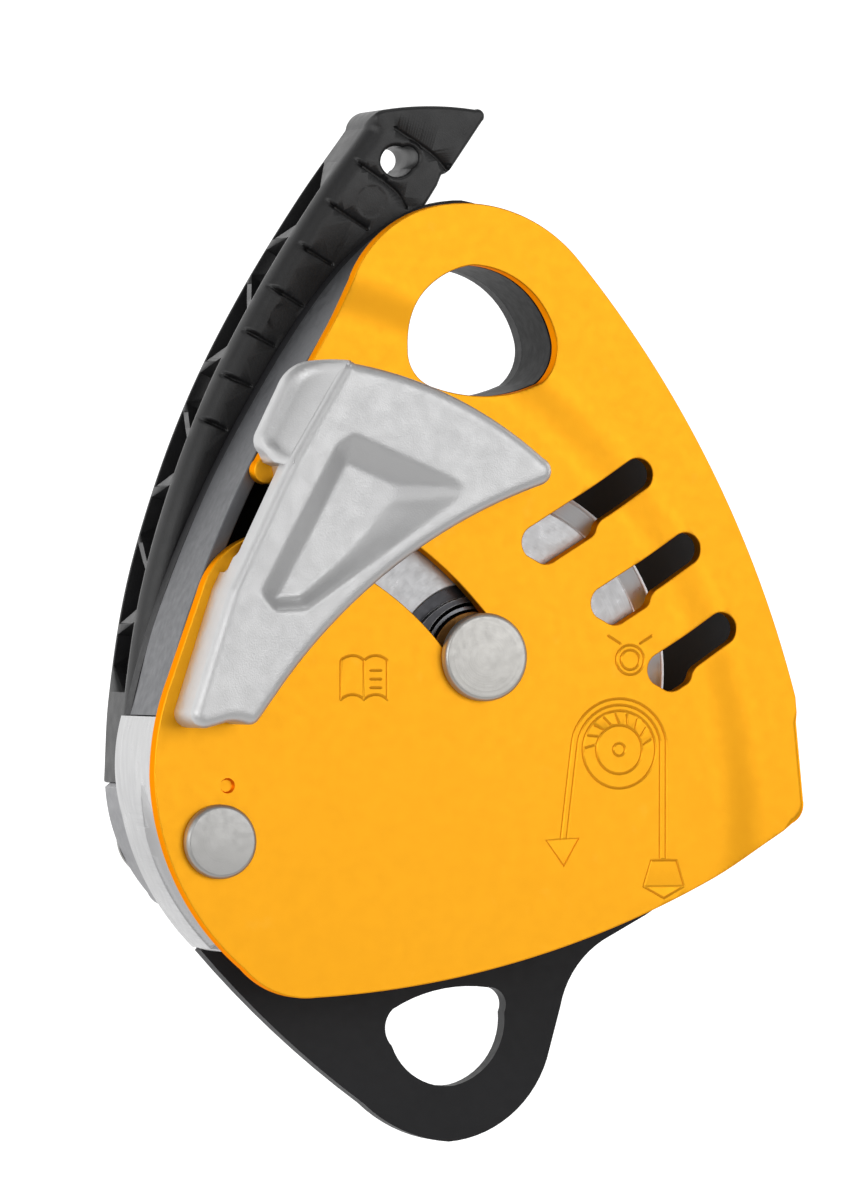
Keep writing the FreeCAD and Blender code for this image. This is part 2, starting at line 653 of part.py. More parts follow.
def make_frame_fasteners():
    rear = "rear_inner + rear_thickness"
    neck = rear + " - sink_depth"
    screws = [make_screw("frame_screw_%d" % index, at, "screw_radius", "screw_head_radius",
                         "rear_inner - 11", neck, rear) for index, at in enumerate(FRAME_SCREWS)]
    deliver(group("frame_screw_group", screws), "frame_screws")
    screws = [make_screw("spine_screw_%d" % index, at, "small_screw_radius", "small_screw_head_radius",
                         "rear_inner - 7.5", neck, rear) for index, at in enumerate(SPINE_SCREWS)]
    deliver(group("spine_screw_group", screws), "spine_screws")
    screws = [make_screw("cover_screw_%d" % index, at, "screw_radius", "screw_head_radius - 0.4",
                         "rear_inner + 0.6", "cover_far", "cover_far + cover_head")
              for index, at in enumerate(COVER_SCREWS)]
    deliver(group("cover_screw_group", screws), "cover_screws")
    dowels = [cylinder("shoe_dowel_%d" % index, at, "dowel_radius", "-dowel_half_length", "dowel_half_length")
              for index, at in enumerate(SHOE_DOWELS)]
    deliver(group("shoe_dowel_group", dowels), "shoe_dowels")


def make_shaft_fittings():
    ring("front_thrust_washer", "axle", "axle_radius + run_clearance", "10", "-hub_half_width - 0.55",
         "-hub_half_width - 0.05")
    ring("axle_circlip", "axle", "axle_radius + fit_gap", "7.4", "-hub_half_width - 1.05",
         "-hub_half_width - 0.6")
    ring("axle_nut", "axle", "axle_radius + fit_gap", "nut_radius", "link_near - 0.15", "link_far + 0.5")
    ring("pivot_washer", "pivot", "pin_radius + fit_gap", "9", "core_far + 0.1", "core_far + 1.1")
    ring("pivot_nut", "pivot", "pin_radius + fit_gap", "nut_radius + 0.6", "core_far + 1.1", "grip_far")
    ball = doc.addObject("Part::Sphere", "detent_ball_sphere")
    ball.setExpression("Radius", bound("detent_radius"))
    ball.setExpression("Placement.Base.x", bound("detent_x"))
    ball.setExpression("Placement.Base.z", bound("detent_z"))
    ball.setExpression("Placement.Base.y", bound("front_face + front_thickness + detent_radius + 0.1"))
    deliver(ball, "detent_ball")


def make_coil(label, at, coil_radius, wire_radius, near, turns, pitch):
    """Helical spring about Y, swept along a helix."""
    helix = Part.makeHelix(pitch, pitch * turns, coil_radius)
    start = Part.Wire([Part.makeCircle(wire_radius, Vector(coil_radius, 0, 0), Vector(0, 1, 0))])
    coil = Part.Wire(helix.Edges).makePipeShell([start], True, True)
    feature = doc.addObject("Part::Feature", label + "_coil")
    feature.Shape = coil
    feature.Placement = Placement(Vector(at[0], near, at[1]), Rotation(Vector(1, 0, 0), -90))
    deliver(feature, label)


def make_rear_cover():
    body = new_body("cover_body")
    rear = "rear_inner + rear_thickness"
    roof = "cover_far - cover_roof"
    add_pad(body, "cover", cover_outline(0.0), rear + " + 0.1", "cover_far")
    add_pocket(body, "cover_hollow", cover_outline(value("cover_wall")), rear, roof)
    add_pocket(body, "cover_mouth", box_outline(-45, -89.5, -34, -66.0), rear, roof)
    add_pad(body, "cover_posts", circles(COVER_SCREWS, value("cover_post")), rear + " + 0.1", "cover_far")
    holes = circles(COVER_SCREWS, value("screw_radius + run_clearance"))
    add_pocket(body, "cover_screw_holes", holes, rear, "cover_far + 1")
    deliver(body, "rear_cover")


# ---------------------------------------------------------------- the swinging front plate
HORN_RIVETS = [(-26.0, -17.5), (-8.0, -28.0), (-62.5, -66.5), (-60.5, -79.5)]


def make_front_side_plate():
    body = new_body("front_plate_body")
    add_joggled_slab(body, "front_slab", 0.0, "front_face + front_thickness")
    trim_to(body, "front_trim", relative(front_plate_outline(), PIVOT))
    place_on_axis(body, "pivot")
    holes = attachment_hole_outline() + circle(PIVOT, value("pin_radius + run_clearance + bush_wall"))
    for vent in VENTS:
        holes += vent_outline(*vent)
    holes += circles(HORN_RIVETS, value("rivet_radius + run_clearance"))
    add_pocket(body, "front_holes", relative(holes, PIVOT), "front_face - 1",
               "front_face + front_thickness + joggle_depth + 1")
    add_pocket(body, "detent_seat", relative(circle(DETENT, value("detent_radius")), PIVOT),
               "front_face - 1", "front_face + 1")
    deliver(body, "front_side_plate")


def make_friction_horn():
    """Wing on a base, with a rope groove under its upper left side and a tunnel for the axle head."""
    body = new_body("horn_body")
    add_pad(body, "horn_wing", horn_outline(), "horn_front", "front_face - horn_base")
    add_pad(body, "horn_foot", horn_base_outline(), "front_face - horn_base", "front_face")
    add_pocket(body, "horn_groove", groove_outline(), "horn_front + 5.0", "front_face - horn_base")
    add_pocket(body, "horn_pocket", horn_pocket_outline(), "horn_front - 1", "horn_front + 3.6")
    reach = value("axle_head_radius + tunnel_margin")
    tunnel = circle(PIVOT, AXLE_FROM_PIVOT + reach) + circle(PIVOT, AXLE_FROM_PIVOT - reach)
    add_pocket(body, "axle_head_tunnel", tunnel, "front_face - tunnel_height", "front_face + 1")
    holes = circles(HORN_RIVETS, value("rivet_radius + run_clearance"))
    add_pocket(body, "horn_rivet_holes", holes, "front_face - 8", "front_face + 1")
    deliver(body, "friction_horn")


def make_front_plate_fittings():
    rivets = []
    for index, at in enumerate(HORN_RIVETS):
        rivets.append(cylinder("horn_rivet_%d" % index, at, "rivet_radius", "front_face - 7.5",
                               "front_face + front_thickness"))
    deliver(group("horn_rivet_group", rivets), "horn_rivets")
    ring("plate_bush", "pivot", "pin_radius + run_clearance", "pin_radius + bush_wall", "front_face",
         "front_face + front_thickness + 0.2")


# ---------------------------------------------------------------- eccentric, lever and sheave
def make_eccentric_hub():
    """Eccentric drum for the sheave, spigot in the rear plate and a flatted drive for the lever."""
    drum = cylinder("hub_drum", "sheave", "hub_radius", "-hub_half_width", "hub_half_width")
    spigot = cylinder("hub_spigot", "axle", "hub_spigot_radius", "hub_half_width - 0.5",
                      "rear_inner + rear_thickness + 0.2")
    drive = cylinder("hub_drive", "axle", "drive_radius", "rear_inner + rear_thickness", "lever_far")
    solid = fuse("hub_solid", [drum, spigot, drive])
    cutters = []
    for index, side in enumerate((1, -1)):
        cutter = doc.addObject("Part::Box", "hub_flat_%d" % index)
        cutter.Length, cutter.Width, cutter.Height = 30, 8, 10
        z_low = AXLE[1] + (value("drive_flat") if side > 0 else -value("drive_flat") - 10)
        cutter.Placement.Base = Vector(AXLE[0] - 15, value("lever_near") - 0.05, z_low)
        cutters.append(cutter)
    seat = cylinder("hub_bush_seat", "axle", "cam_bush_radius + fit_gap", "-hub_half_width - 1", "bush_end")
    bore = cylinder("hub_bore", "axle", "axle_radius + run_clearance", "rear_inner", "lever_far + 1")
    floor = "spring_pocket_depth - hub_half_width"
    mouth = "-hub_half_width - 1"
    outside = cylinder("hub_pocket_outside", "axle", "spring_pocket_outer", mouth, floor)
    inside = cylinder("hub_pocket_inside", "axle", "spring_pocket_inner", mouth + " - 1", floor + " + 1")
    pocket = cut("hub_spring_pocket", outside, inside)
    tools = fuse("hub_tools", cutters + [seat, bore, pocket])
    deliver(cut("hub_cut", solid, tools), "eccentric_hub")


def make_cam_lever():
    body = new_body("lever_body")
    add_pad(body, "lever", lever_outline(), "lever_near", "lever_far")
    flat, radius = value("drive_flat + 0.05"), value("drive_radius + 0.05")
    half_angle = math.degrees(math.asin(flat / radius))
    hole = Outline(*polar(AXLE, radius, half_angle))
    hole.line(*polar(AXLE, radius, 180 - half_angle)).around(AXLE, radius, 180 - half_angle, 180 + half_angle)
    hole.line(*polar(AXLE, radius, 360 - half_angle)).around(AXLE, radius, 360 - half_angle, 360 + half_angle)
    add_pocket(body, "lever_drive", hole.close(), "lever_near - 1", "lever_far + 1")
    add_pocket(body, "lever_eye", circle(LEVER_PIN, value("link_pin_radius + fit_gap")), "lever_near - 1",
               "lever_far + 1")
    deliver(body, "cam_lever")


def make_cam_fittings():
    ring("cam_bush", "axle", "axle_radius + run_clearance", "cam_bush_radius", "-hub_half_width", "bush_end")
    shank = cylinder("lever_pin_shank", LEVER_PIN, "link_pin_radius", "lever_near", "link_far + 0.2")
    head = cylinder("lever_pin_head", LEVER_PIN, "link_pin_radius + 1.4", "link_far + 0.2", "link_far + 1.1")
    deliver(fuse("lever_pin_solid", [shank, head]), "lever_pin")


def sheave_rivet_points(at):
    return [polar(at, value("sheave_rivet_circle"), 60 * index + 30) for index in range(6)]


def rivet_holes():
    return circles(sheave_rivet_points((0, 0)), value("sheave_rivet_radius + fit_gap"))


def make_return_spring():
    """Flat spiral spring in the hub's pocket, one and a half turns of strip."""
    body = new_body("return_spring_body")
    add_pad(body, "spiral", spiral_outline(AXLE, 9.1, 0.7, 1.5), "0.5 - hub_half_width", "7.5 - hub_half_width")
    deliver(body, "cam_return_spring")


def make_sheave():
    """Two cheeks and a core riveted together round the one-way clutch."""
    rim, floor = value("sheave_radius"), value("groove_floor_radius")
    inner, flat = value("clutch_radius + fit_gap"), value("cheek_flat_radius")
    half, rim_half = value("sheave_half_width"), value("rim_half_width")
    mouth, root = value("groove_mouth_half"), value("groove_floor_half")
    for label, side in (("sheave_front_cheek", -1), ("sheave_rear_cheek", 1)):
        points = [(inner, side * half), (flat, side * half), (rim, side * rim_half), (rim, side * mouth),
                  (floor, side * root), (inner, side * root)]
        body = revolved(label + "_body", "sheave", points)
        add_pocket(body, label + "_rivet_holes", rivet_holes(), "-20", "20")
        deliver(body, label)
    points = [(inner, -root), (floor, -root), (floor, root), (inner, root)]
    core = revolved("sheave_core_body", "sheave", points)
    add_pocket(core, "sheave_core_rivet_holes", rivet_holes(), "-20", "20")
    deliver(core, "sheave_core")
    pins = [cylinder("sheave_rivet_%d" % index, at, "sheave_rivet_radius", "-sheave_half_width",
                     "sheave_half_width") for index, at in enumerate(sheave_rivet_points(SHEAVE))]
    deliver(group("sheave_rivet_group", pins), "sheave_rivets")
    ring("one_way_clutch", "sheave", "hub_radius + run_clearance", "clutch_radius", "-clutch_half_width",
         "clutch_half_width")


# ---------------------------------------------------------------- handle and link
def make_handle_grip():
    body = new_body("grip_body")
    add_pad(body, "grip", grip_outline(), "grip_near", "grip_far")
    add_pocket(body, "grip_truss", truss_outline(), "grip_near + 4.5", "grip_far - 3.0")
    add_pocket(body, "grip_tang_slot", tang_outline(0.1), "core_near - 0.1", "core_far + 0.1")
    eye = Outline(-13.8, 38.4).arc(-12.6, 41.4, -8.6, 42.0).arc(-5.2, 41.0, -6.4, 37.4)
    eye.arc(-9.6, 35.4, -13.0, 36.6).close()
    add_pocket(body, "grip_eye", eye.edges, "grip_near - 1", "grip_near + 9")
    for index in range(8):
        along = index + 0.5
        low = truss_point(along, 8.8)
        high = truss_point(along + (0.45 if index % 2 else -0.45), -0.2)
        add_pad(body, "grip_rib_%d" % index, strip_outline(low, high, 1.0), "grip_near + 4.0",
                "grip_far - 2.5")
    deliver(body, "handle_grip")


def truss_point(along, depth):
    """Point on the outer side of the grip, 'along' eighths of the way down, at a depth inwards."""
    points = [(-16.8, 46.4)] + GRIP_EDGE[:6]
    place = min(max(along / 8.0, 0.0), 0.999) * (len(points) - 1)
    index = int(place)
    part = place - index
    (x0, z0), (x1, z1) = points[index], points[index + 1]
    run = math.hypot(x1 - x0, z1 - z0)
    x, z = x0 + (x1 - x0) * part, z0 + (z1 - z0) * part
    return x - (z1 - z0) / run * depth, z + (x1 - x0) / run * depth


def strip_outline(start, end, half):
    run = math.hypot(end[0] - start[0], end[1] - start[1])
    side_x, side_z = -(end[1] - start[1]) / run * half, (end[0] - start[0]) / run * half
    path = Outline(start[0] + side_x, start[1] + side_z).line(end[0] + side_x, end[1] + side_z)
    path.line(end[0] - side_x, end[1] - side_z).line(start[0] - side_x, start[1] - side_z)
    return path.close()


def make_handle_core():
    """Metal hub of the handle: two layers joined outside the link's path, and a tang in the grip."""
    body = new_body("core_body")
    add_pad(body, "core_front", core_outline(), "lever_near", "lever_far")
    add_pad(body, "core_boss", circle(PIVOT, value("boss_radius")), "lever_far - 0.5", "core_near + 0.5")
    add_pad(body, "core_flank", core_flank_outline(), "lever_far - 0.5", "core_near + 0.5")
    add_pad(body, "core_rear", core_outline(), "core_near", "core_far")
    add_pad(body, "core_tang", tang_outline(0.0), "core_near", "core_far")
    bore = circle(PIVOT, value("pin_radius + run_clearance + 1.5 + fit_gap"))
    add_pocket(body, "core_bore", bore, "lever_near - 1", "core_far + 1")
    eye = circle(CRANK_PIN, value("link_pin_radius + fit_gap"))
    add_pocket(body, "core_eye", eye, "lever_near - 1", "core_far + 1")
    deliver(body, "handle_core")


def make_handle_fittings():
    ring("handle_bush", "pivot", "pin_radius + run_clearance", "pin_radius + run_clearance + 1.5",
         "lever_near - 0.2", "core_far")
    deliver(cylinder("crank_pin_bar", CRANK_PIN, "link_pin_radius", "lever_near", "core_far"), "crank_pin")


def make_release_link():
    body = new_body("link_body")
    add_pad(body, "link", link_outline(), "link_near", "link_far")
    eyes = circle(CRANK_PIN, value("link_pin_radius + run_clearance"))
    eyes += circle(LEVER_PIN, value("link_pin_radius + 2 * run_clearance"))
    add_pocket(body, "link_eyes", eyes, "link_near - 1", "link_far + 1")
    deliver(body, "release_link")


# ---------------------------------------------------------------- build, check and write
def build():
    make_rear_side_plate()
    make_side_spine()
    make_top_spacer()
    make_brake_block()
    make_brake_shoe()
    make_headed_shaft("main_axle", "axle", "axle_radius", "axle_head_radius", "link_far + 1.2")
    make_headed_shaft("plate_pivot_pin", "pivot", "pin_radius", "pin_head_radius", "grip_far")
    make_frame_fasteners()
    make_shaft_fittings()
    spring_start = value("front_face + front_thickness + 2 * detent_radius + 0.2")
    make_coil("detent_spring", DETENT, value("detent_spring_radius"), 0.3, spring_start, 4, 1.1)
    make_rear_cover()
    make_front_side_plate()
    make_friction_horn()
    make_front_plate_fittings()
    make_eccentric_hub()
    make_cam_lever()
    make_cam_fittings()
    make_return_spring()
    make_sheave()
    make_handle_grip()
    make_handle_core()
    make_handle_fittings()
    make_release_link()
    doc.recompute()


def check():
    faults = [thing.Name for thing in doc.Objects if {"Invalid", "Error"} & set(thing.State)]
    for thing in SUBPARTS:
        if thing.Shape.isNull() or not thing.Shape.isValid() or not thing.Shape.Solids:
            faults.append(thing.Label)
    if faults:
        raise RuntimeError("failed objects: " + ", ".join(faults))


def write():
    os.makedirs("parts", exist_ok=True)
    for thing in SUBPARTS:
        thing.Shape.exportStep(os.path.join("parts", thing.Label + ".step"))
        box = thing.Shape.BoundBox
        print("%-22s %2d solids %9.0f mm3  x %6.1f..%6.1f  y %6.1f..%6.1f  z %7.1f..%6.1f" % (
            thing.Label, len(thing.Shape.Solids), thing.Shape.Volume,
            box.XMin, box.XMax, box.YMin, box.YMax, box.ZMin, box.ZMax))


build()
check()
write()
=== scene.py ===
"""Looks of the belay device, built round its CAD frame.

Lengths are millimetres in the CAD's own frame: +Z up, +X to the right, +Y to the rear, and the origin
at the centre of the attachment hole. MM turns them into metres where a mesh is made.
"""
import json
import math

import bmesh
import bpy
import numpy as np
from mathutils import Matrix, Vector
from mathutils.geometry import delaunay_2d_cdt

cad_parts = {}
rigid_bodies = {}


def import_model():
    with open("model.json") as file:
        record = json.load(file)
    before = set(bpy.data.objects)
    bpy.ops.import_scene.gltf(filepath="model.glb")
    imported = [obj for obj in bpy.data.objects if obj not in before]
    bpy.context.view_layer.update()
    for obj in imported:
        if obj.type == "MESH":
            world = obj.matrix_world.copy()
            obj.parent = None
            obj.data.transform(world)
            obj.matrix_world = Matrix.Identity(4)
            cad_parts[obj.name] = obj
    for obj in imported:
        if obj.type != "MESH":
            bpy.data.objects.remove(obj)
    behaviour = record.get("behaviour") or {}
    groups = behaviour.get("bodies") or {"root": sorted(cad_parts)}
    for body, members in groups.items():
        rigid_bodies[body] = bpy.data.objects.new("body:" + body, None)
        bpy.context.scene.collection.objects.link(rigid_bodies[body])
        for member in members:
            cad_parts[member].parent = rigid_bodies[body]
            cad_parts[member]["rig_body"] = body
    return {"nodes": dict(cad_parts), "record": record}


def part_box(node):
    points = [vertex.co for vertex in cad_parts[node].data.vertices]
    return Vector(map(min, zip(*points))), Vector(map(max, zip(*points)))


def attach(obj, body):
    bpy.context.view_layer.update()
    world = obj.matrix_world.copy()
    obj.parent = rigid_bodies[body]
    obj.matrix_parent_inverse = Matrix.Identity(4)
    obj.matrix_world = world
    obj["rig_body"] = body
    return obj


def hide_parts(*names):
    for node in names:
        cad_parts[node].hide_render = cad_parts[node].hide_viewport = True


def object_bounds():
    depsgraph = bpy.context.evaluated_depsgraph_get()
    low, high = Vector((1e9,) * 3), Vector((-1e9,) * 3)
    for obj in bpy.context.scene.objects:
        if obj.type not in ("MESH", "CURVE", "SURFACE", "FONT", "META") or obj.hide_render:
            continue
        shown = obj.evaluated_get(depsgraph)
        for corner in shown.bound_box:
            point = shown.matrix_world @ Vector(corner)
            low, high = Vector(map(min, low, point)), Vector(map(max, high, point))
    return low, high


MM = 0.001
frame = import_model()
cad_low, cad_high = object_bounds()


# ---------------------------------------------------------------- places taken from the frame
def low(node):
    return [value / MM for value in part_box(node)[0]]


def high(node):
    return [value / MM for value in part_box(node)[1]]


def axis_of(node):
    """Centre of a round piece as (x, z)."""
    lowest, highest = low(node), high(node)
    return (lowest[0] + highest[0]) / 2, (lowest[2] + highest[2]) / 2


AXLE = axis_of("main_axle")
PIVOT = axis_of("plate_pivot_pin")
SHEAVE = axis_of("sheave_front_cheek")
AXLE_REACH = math.hypot(AXLE[0] - PIVOT[0], AXLE[1] - PIVOT[1])
AXLE_ANGLE = math.degrees(math.atan2(AXLE[1] - PIVOT[1], AXLE[0] - PIVOT[0]))
FACE = low("front_side_plate")[1]
PLATE_THICKNESS = 4.0
PLATE_GAP = 0.4
EDGE_BREAK = 0.3
SEAT_EDGE = 0.05
JOGGLE_DEPTH = high("front_side_plate")[1] - FACE - PLATE_THICKNESS
JOGGLE_START = 116.0
JOGGLE_RUN = 15.0
REAR_NEAR = low("rear_side_plate")[1]
REAR_FAR = high("rear_side_plate")[1]
SLOT_HALF = 6.2


# ---------------------------------------------------------------- outlines
def polar(at, radius, degrees):
    angle = math.radians(degrees)
    return at[0] + radius * math.cos(angle), at[1] + radius * math.sin(angle)


class Outline:
    """A closed line in the X-Z plane, sampled every step millimetres."""

    def __init__(self, x, z, step=0.7):
        self.points = [(x, z)]
        self.step = step

    def line(self, x, z):
        start = self.points[-1]
        count = max(1, round(math.dist(start, (x, z)) / self.step))
        for index in range(1, count + 1):
            part = index / count
            self.points.append((start[0] + (x - start[0]) * part, start[1] + (z - start[1]) * part))
        return self

    def arc(self, mid_x, mid_z, x, z):
        """Circular arc through a middle point."""
        (ax, az), (bx, bz), (cx, cz) = self.points[-1], (mid_x, mid_z), (x, z)
        scale = 2 * (ax * (bz - cz) + bx * (cz - az) + cx * (az - bz))
        a2, b2, c2 = ax * ax + az * az, bx * bx + bz * bz, cx * cx + cz * cz
        ox = (a2 * (bz - cz) + b2 * (cz - az) + c2 * (az - bz)) / scale
        oz = (a2 * (cx - bx) + b2 * (ax - cx) + c2 * (bx - ax)) / scale
        start = math.atan2(az - oz, ax - ox)
        middle = (math.atan2(bz - oz, bx - ox) - start) % (2 * math.pi)
        sweep = (math.atan2(cz - oz, cx - ox) - start) % (2 * math.pi)
        if middle > sweep:
            sweep -= 2 * math.pi
        radius = math.hypot(ax - ox, az - oz)
        count = max(3, round(abs(sweep) * radius / self.step))
        for index in range(1, count + 1):
            angle = start + sweep * index / count
            self.points.append((ox + radius * math.cos(angle), oz + radius * math.sin(angle)))
        return self

    def around(self, at, radius, start, end):
        middle = polar(at, radius, (start + end) / 2)
        finish = polar(at, radius, end)
        return self.arc(*middle, *finish)

    def spline(self, points):
        """Smooth line through points, with the mean direction of its neighbours at each."""
        knots = [self.points[-1]] + list(points)
        slopes = []
        for index in range(len(knots)):
            before, after = knots[max(index - 1, 0)], knots[min(index + 1, len(knots) - 1)]
            run = math.dist(before, after)
            slopes.append(((after[0] - before[0]) / run, (after[1] - before[1]) / run))
        for (p, u), (q, v) in zip(zip(knots, slopes), zip(knots[1:], slopes[1:])):
            run = math.dist(p, q)
            count = max(2, round(run / self.step))
            for index in range(1, count + 1):
                t = index / count
                a, b = 2 * t ** 3 - 3 * t ** 2 + 1, (t ** 3 - 2 * t ** 2 + t) * run
                c, d = -2 * t ** 3 + 3 * t ** 2, (t ** 3 - t ** 2) * run
                self.points.append(tuple(a * p[k] + b * u[k] + c * q[k] + d * v[k] for k in (0, 1)))
        return self

    def close(self):
        if math.dist(self.points[0], self.points[-1]) > 1e-3:
            self.line(*self.points[0])
        return self.points[:-1]


def circle(at, radius, step=0.7):
    count = max(16, round(2 * math.pi * radius / step))
    return [polar(at, radius, 360 * index / count) for index in range(count)]


def turned(loop, anticlockwise):
    """The loop running the stated way round, as an array."""
    points = np.array(loop)
    after = np.roll(points, -1, 0)
    area = (points[:, 0] * after[:, 1] - after[:, 0] * points[:, 1]).sum()
    return points if (area > 0) == anticlockwise else points[::-1]


def inward(points):
    """Mitred direction to the left of travel at each point of a closed loop."""
    def left(run):
        run = run / np.linalg.norm(run, axis=1)[:, None]
        return np.stack([-run[:, 1], run[:, 0]], 1)

    before, after = left(points - np.roll(points, 1, 0)), left(np.roll(points, -1, 0) - points)
    opening = np.maximum(1 + (before * after).sum(1), 0.4)
    return (before + after) / opening[:, None]


def beside(points, distance):
    """A line moved to the left of its direction of travel; a closed one stays closed."""
    moved = []
    closed = math.dist(points[0], points[-1]) < 1e-6
    last = len(points) - 1
    for index, (x, z) in enumerate(points):
        before, after = points[max(index - 1, 0)], points[min(index + 1, last)]
        if closed and index in (0, last):
            before, after = points[-2], points[1]
        run = math.dist(before, after)
        side_x, side_z = -(after[1] - before[1]) / run, (after[0] - before[0]) / run
        moved.append((x + side_x * distance, z + side_z * distance))
    return moved


def inside(points, loop):
    """Which points lie inside a closed loop."""
    found = np.zeros(len(points), bool)
    x, z = points[:, 0], points[:, 1]
    for (ax, az), (bx, bz) in zip(loop, np.roll(loop, -1, 0)):
        if az == bz:
            continue
        crossing = (az > z) != (bz > z)
        found ^= crossing & (x < (bx - ax) * (z - az) / (bz - az) + ax)
    return found


def gap_to(points, lines):
    """Distance from each point to the nearest of several polylines."""
    points = np.asarray(points, float)
    nearest = np.full(len(points), 1e9)
    for line in lines:
        line = np.asarray(line, float)
        for a, b in zip(line, line[1:]):
            run = b - a
            along = np.clip(((points - a) @ run) / (run @ run), 0, 1)
            nearest = np.minimum(nearest, np.linalg.norm(points - a - along[:, None] * run, axis=1))
    return nearest


def smooth(value):
    value = min(max(value, 0.0), 1.0)
    return value * value * (3 - 2 * value)


class Near:
    """Distance from a point to the nearest of some polylines."""

    def __init__(self, lines):
        starts = np.concatenate([np.asarray(line, float)[:-1] for line in lines])
        ends = np.concatenate([np.asarray(line, float)[1:] for line in lines])
        self.starts, self.runs = starts, ends - starts
        self.squares = (self.runs ** 2).sum(1)

    def gap(self, x, z):
        offset = np.array((x, z)) - self.starts
        along = np.clip((offset * self.runs).sum(1) / self.squares, 0, 1)
        return float(np.linalg.norm(offset - along[:, None] * self.runs, axis=1).min())


# ---------------------------------------------------------------- outlines of the object
# the hollow's lower bank starts with this slope and grows steeper below LOWER_TOP
LOWER_SLOPE = 0.46
LOWER_TOP = -38.0
SPINE_EDGE = [(-20.0, 19.7), (-30.0, 9.0), (-42.2, -8.8), (-56.6, -34.6), (-68.6, -63.2), (-74.6, -84.6)]
SPINE_THICKNESS = 3.0
GRIP_EDGE = [(-28.5, 30.3), (-41.7, 9.6), (-53.2, -12.0), (-62.2, -34.4), (-68.9, -57.5), (-72.7, -81.5),
             (-73.7, -99.3)]
VENTS = [(9.9, -43.3, 28.7, 13.4), (26.2, -56.8, 22.9, 9.3), (39.6, -71.6, 17.2, 5.2)]
VENT_SLANT = math.radians(31.5)


def front_plate_outline():
    mouth = polar(PIVOT, AXLE_REACH - SLOT_HALF, 83.5)
    path = Outline(74.6, -86.5).line(76.3, -104.0).arc(75.9, -107.2, 73.6, -109.4)
    path.arc(20.5, -135.4, -40.0, -146.7).arc(-50.2, -145.0, -56.5, -140.3)
    path.arc(-71.3, -121.6, -77.3, -98.0).arc(-76.3, -87.2, -73.2, -76.4).line(-66.4, -57.4)
    path.arc(-62.0, -49.8, *mouth).around(PIVOT, AXLE_REACH - SLOT_HALF, 83.5, AXLE_ANGLE)
    path.around(AXLE, SLOT_HALF, AXLE_ANGLE + 180, AXLE_ANGLE + 360)
    path.around(PIVOT, AXLE_REACH + SLOT_HALF, AXLE_ANGLE, 81.0)
    path.arc(-54.2, -31.6, -53.2, -28.6).line(-30.6, 11.2)
    path.arc(-21.3, 23.3, -8.0, 28.3).arc(9.5, 25.7, 22.6, 16.0).arc(53.2, -28.5, 74.1, -81.0)
    return path.close()


def attachment_hole_outline():
    path = Outline(-18.6, -4.0).arc(-14.6, 8.0, -2.5, 14.8).arc(8.6, 11.2, 16.9, -0.5)
    path.arc(17.0, -6.0, 13.5, -11.2).arc(0.0, -14.2, -12.8, -12.3).arc(-17.2, -9.0, -18.6, -4.0)
    return path.close()


def vent_outline(x, z, length, step):
    """A slanted vent: narrow above the step, wider below it, with a cut lower end."""
    def at(along, across):
        return (x + along * math.cos(VENT_SLANT) - across * math.sin(VENT_SLANT),
                z + along * math.sin(VENT_SLANT) + across * math.cos(VENT_SLANT))

    narrow, wide = -7.3, -9.35
    path = Outline(*at(0.5, 0), step=0.5).line(*at(length, 0))
    path.arc(*at(length - narrow / 2, narrow / 2), *at(length, narrow)).line(*at(step + 2.2, narrow))
    path.arc(*at(step + 0.9, narrow - 0.35), *at(step, narrow - 1.0))
    path.arc(*at(step - 0.9, wide + 0.35), *at(step - 2.2, wide)).line(*at(1.4, wide))
    path.arc(*at(-0.7, -9.0), *at(-2.0, -7.9)).line(*at(-3.7, -4.9)).arc(*at(-3.0, -1.5), *at(0.5, 0))
    return path.close()


def spine_outline():
    outer = [(-10.5, 26.1)] + SPINE_EDGE
    inner = beside(outer, SPINE_THICKNESS)
    inner[-1] = (outer[-1][0] + SPINE_THICKNESS, outer[-1][1] + 0.9)
    inner.reverse()
    return Outline(*outer[0]).spline(outer[1:]).line(*inner[0]).spline(inner[1:]).close()


def spacer_outline():
    inner = beside([(-10.5, 26.1)] + SPINE_EDGE[:4], SPINE_THICKNESS + 0.15)
    path = Outline(*inner[3]).spline([inner[2], inner[1], inner[0]])
    path.arc(-2.0, 27.4, 4.0, 27.5).arc(13.5, 23.3, 21.0, 14.5).arc(30.0, 1.6, 36.5, -9.0)
    path.arc(34.0, -20.0, 27.0, -29.4)
    path.around(SHEAVE, 53.5, 59.2, 124.0)
    return path.close()


def horn_outline():
    """The braking horn as seen from the front, from its top corner round by the tip."""
    path = Outline(-38.0, -8.0).arc(-36.8, -7.2, -35.0, -7.6).arc(-12.0, -14.8, 8.6, -28.0)
    path.arc(10.5, -31.0, 8.2, -34.0).arc(-22.5, -49.6, -53.4, -80.0).line(-57.2, -85.2)
    path.arc(-58.4, -86.3, -60.0, -86.4).arc(-62.6, -85.8, -65.6, -86.2).line(-68.6, -87.0)
    path.arc(-71.6, -86.6, -72.8, -83.4).line(-64.2, -57.0).line(-50.6, -29.0)
    return path.close()


def horn_pocket():
    """Corners of the hollow in the horn, clockwise, with the slope of the bank below each side."""
    return [((-40.0, -25.6), 0.75), ((-35.8, -23.0), 0.62), ((-12.2, -33.2), 0.60), ((-10.4, -34.5), 0.23),
            ((-10.4, -36.1), 0.60), ((-11.6, -37.2), LOWER_SLOPE), ((-47.3, -61.2), 1.60),
            ((-54.2, -61.4), 1.40), ((-57.4, -57.6), 0.75)]


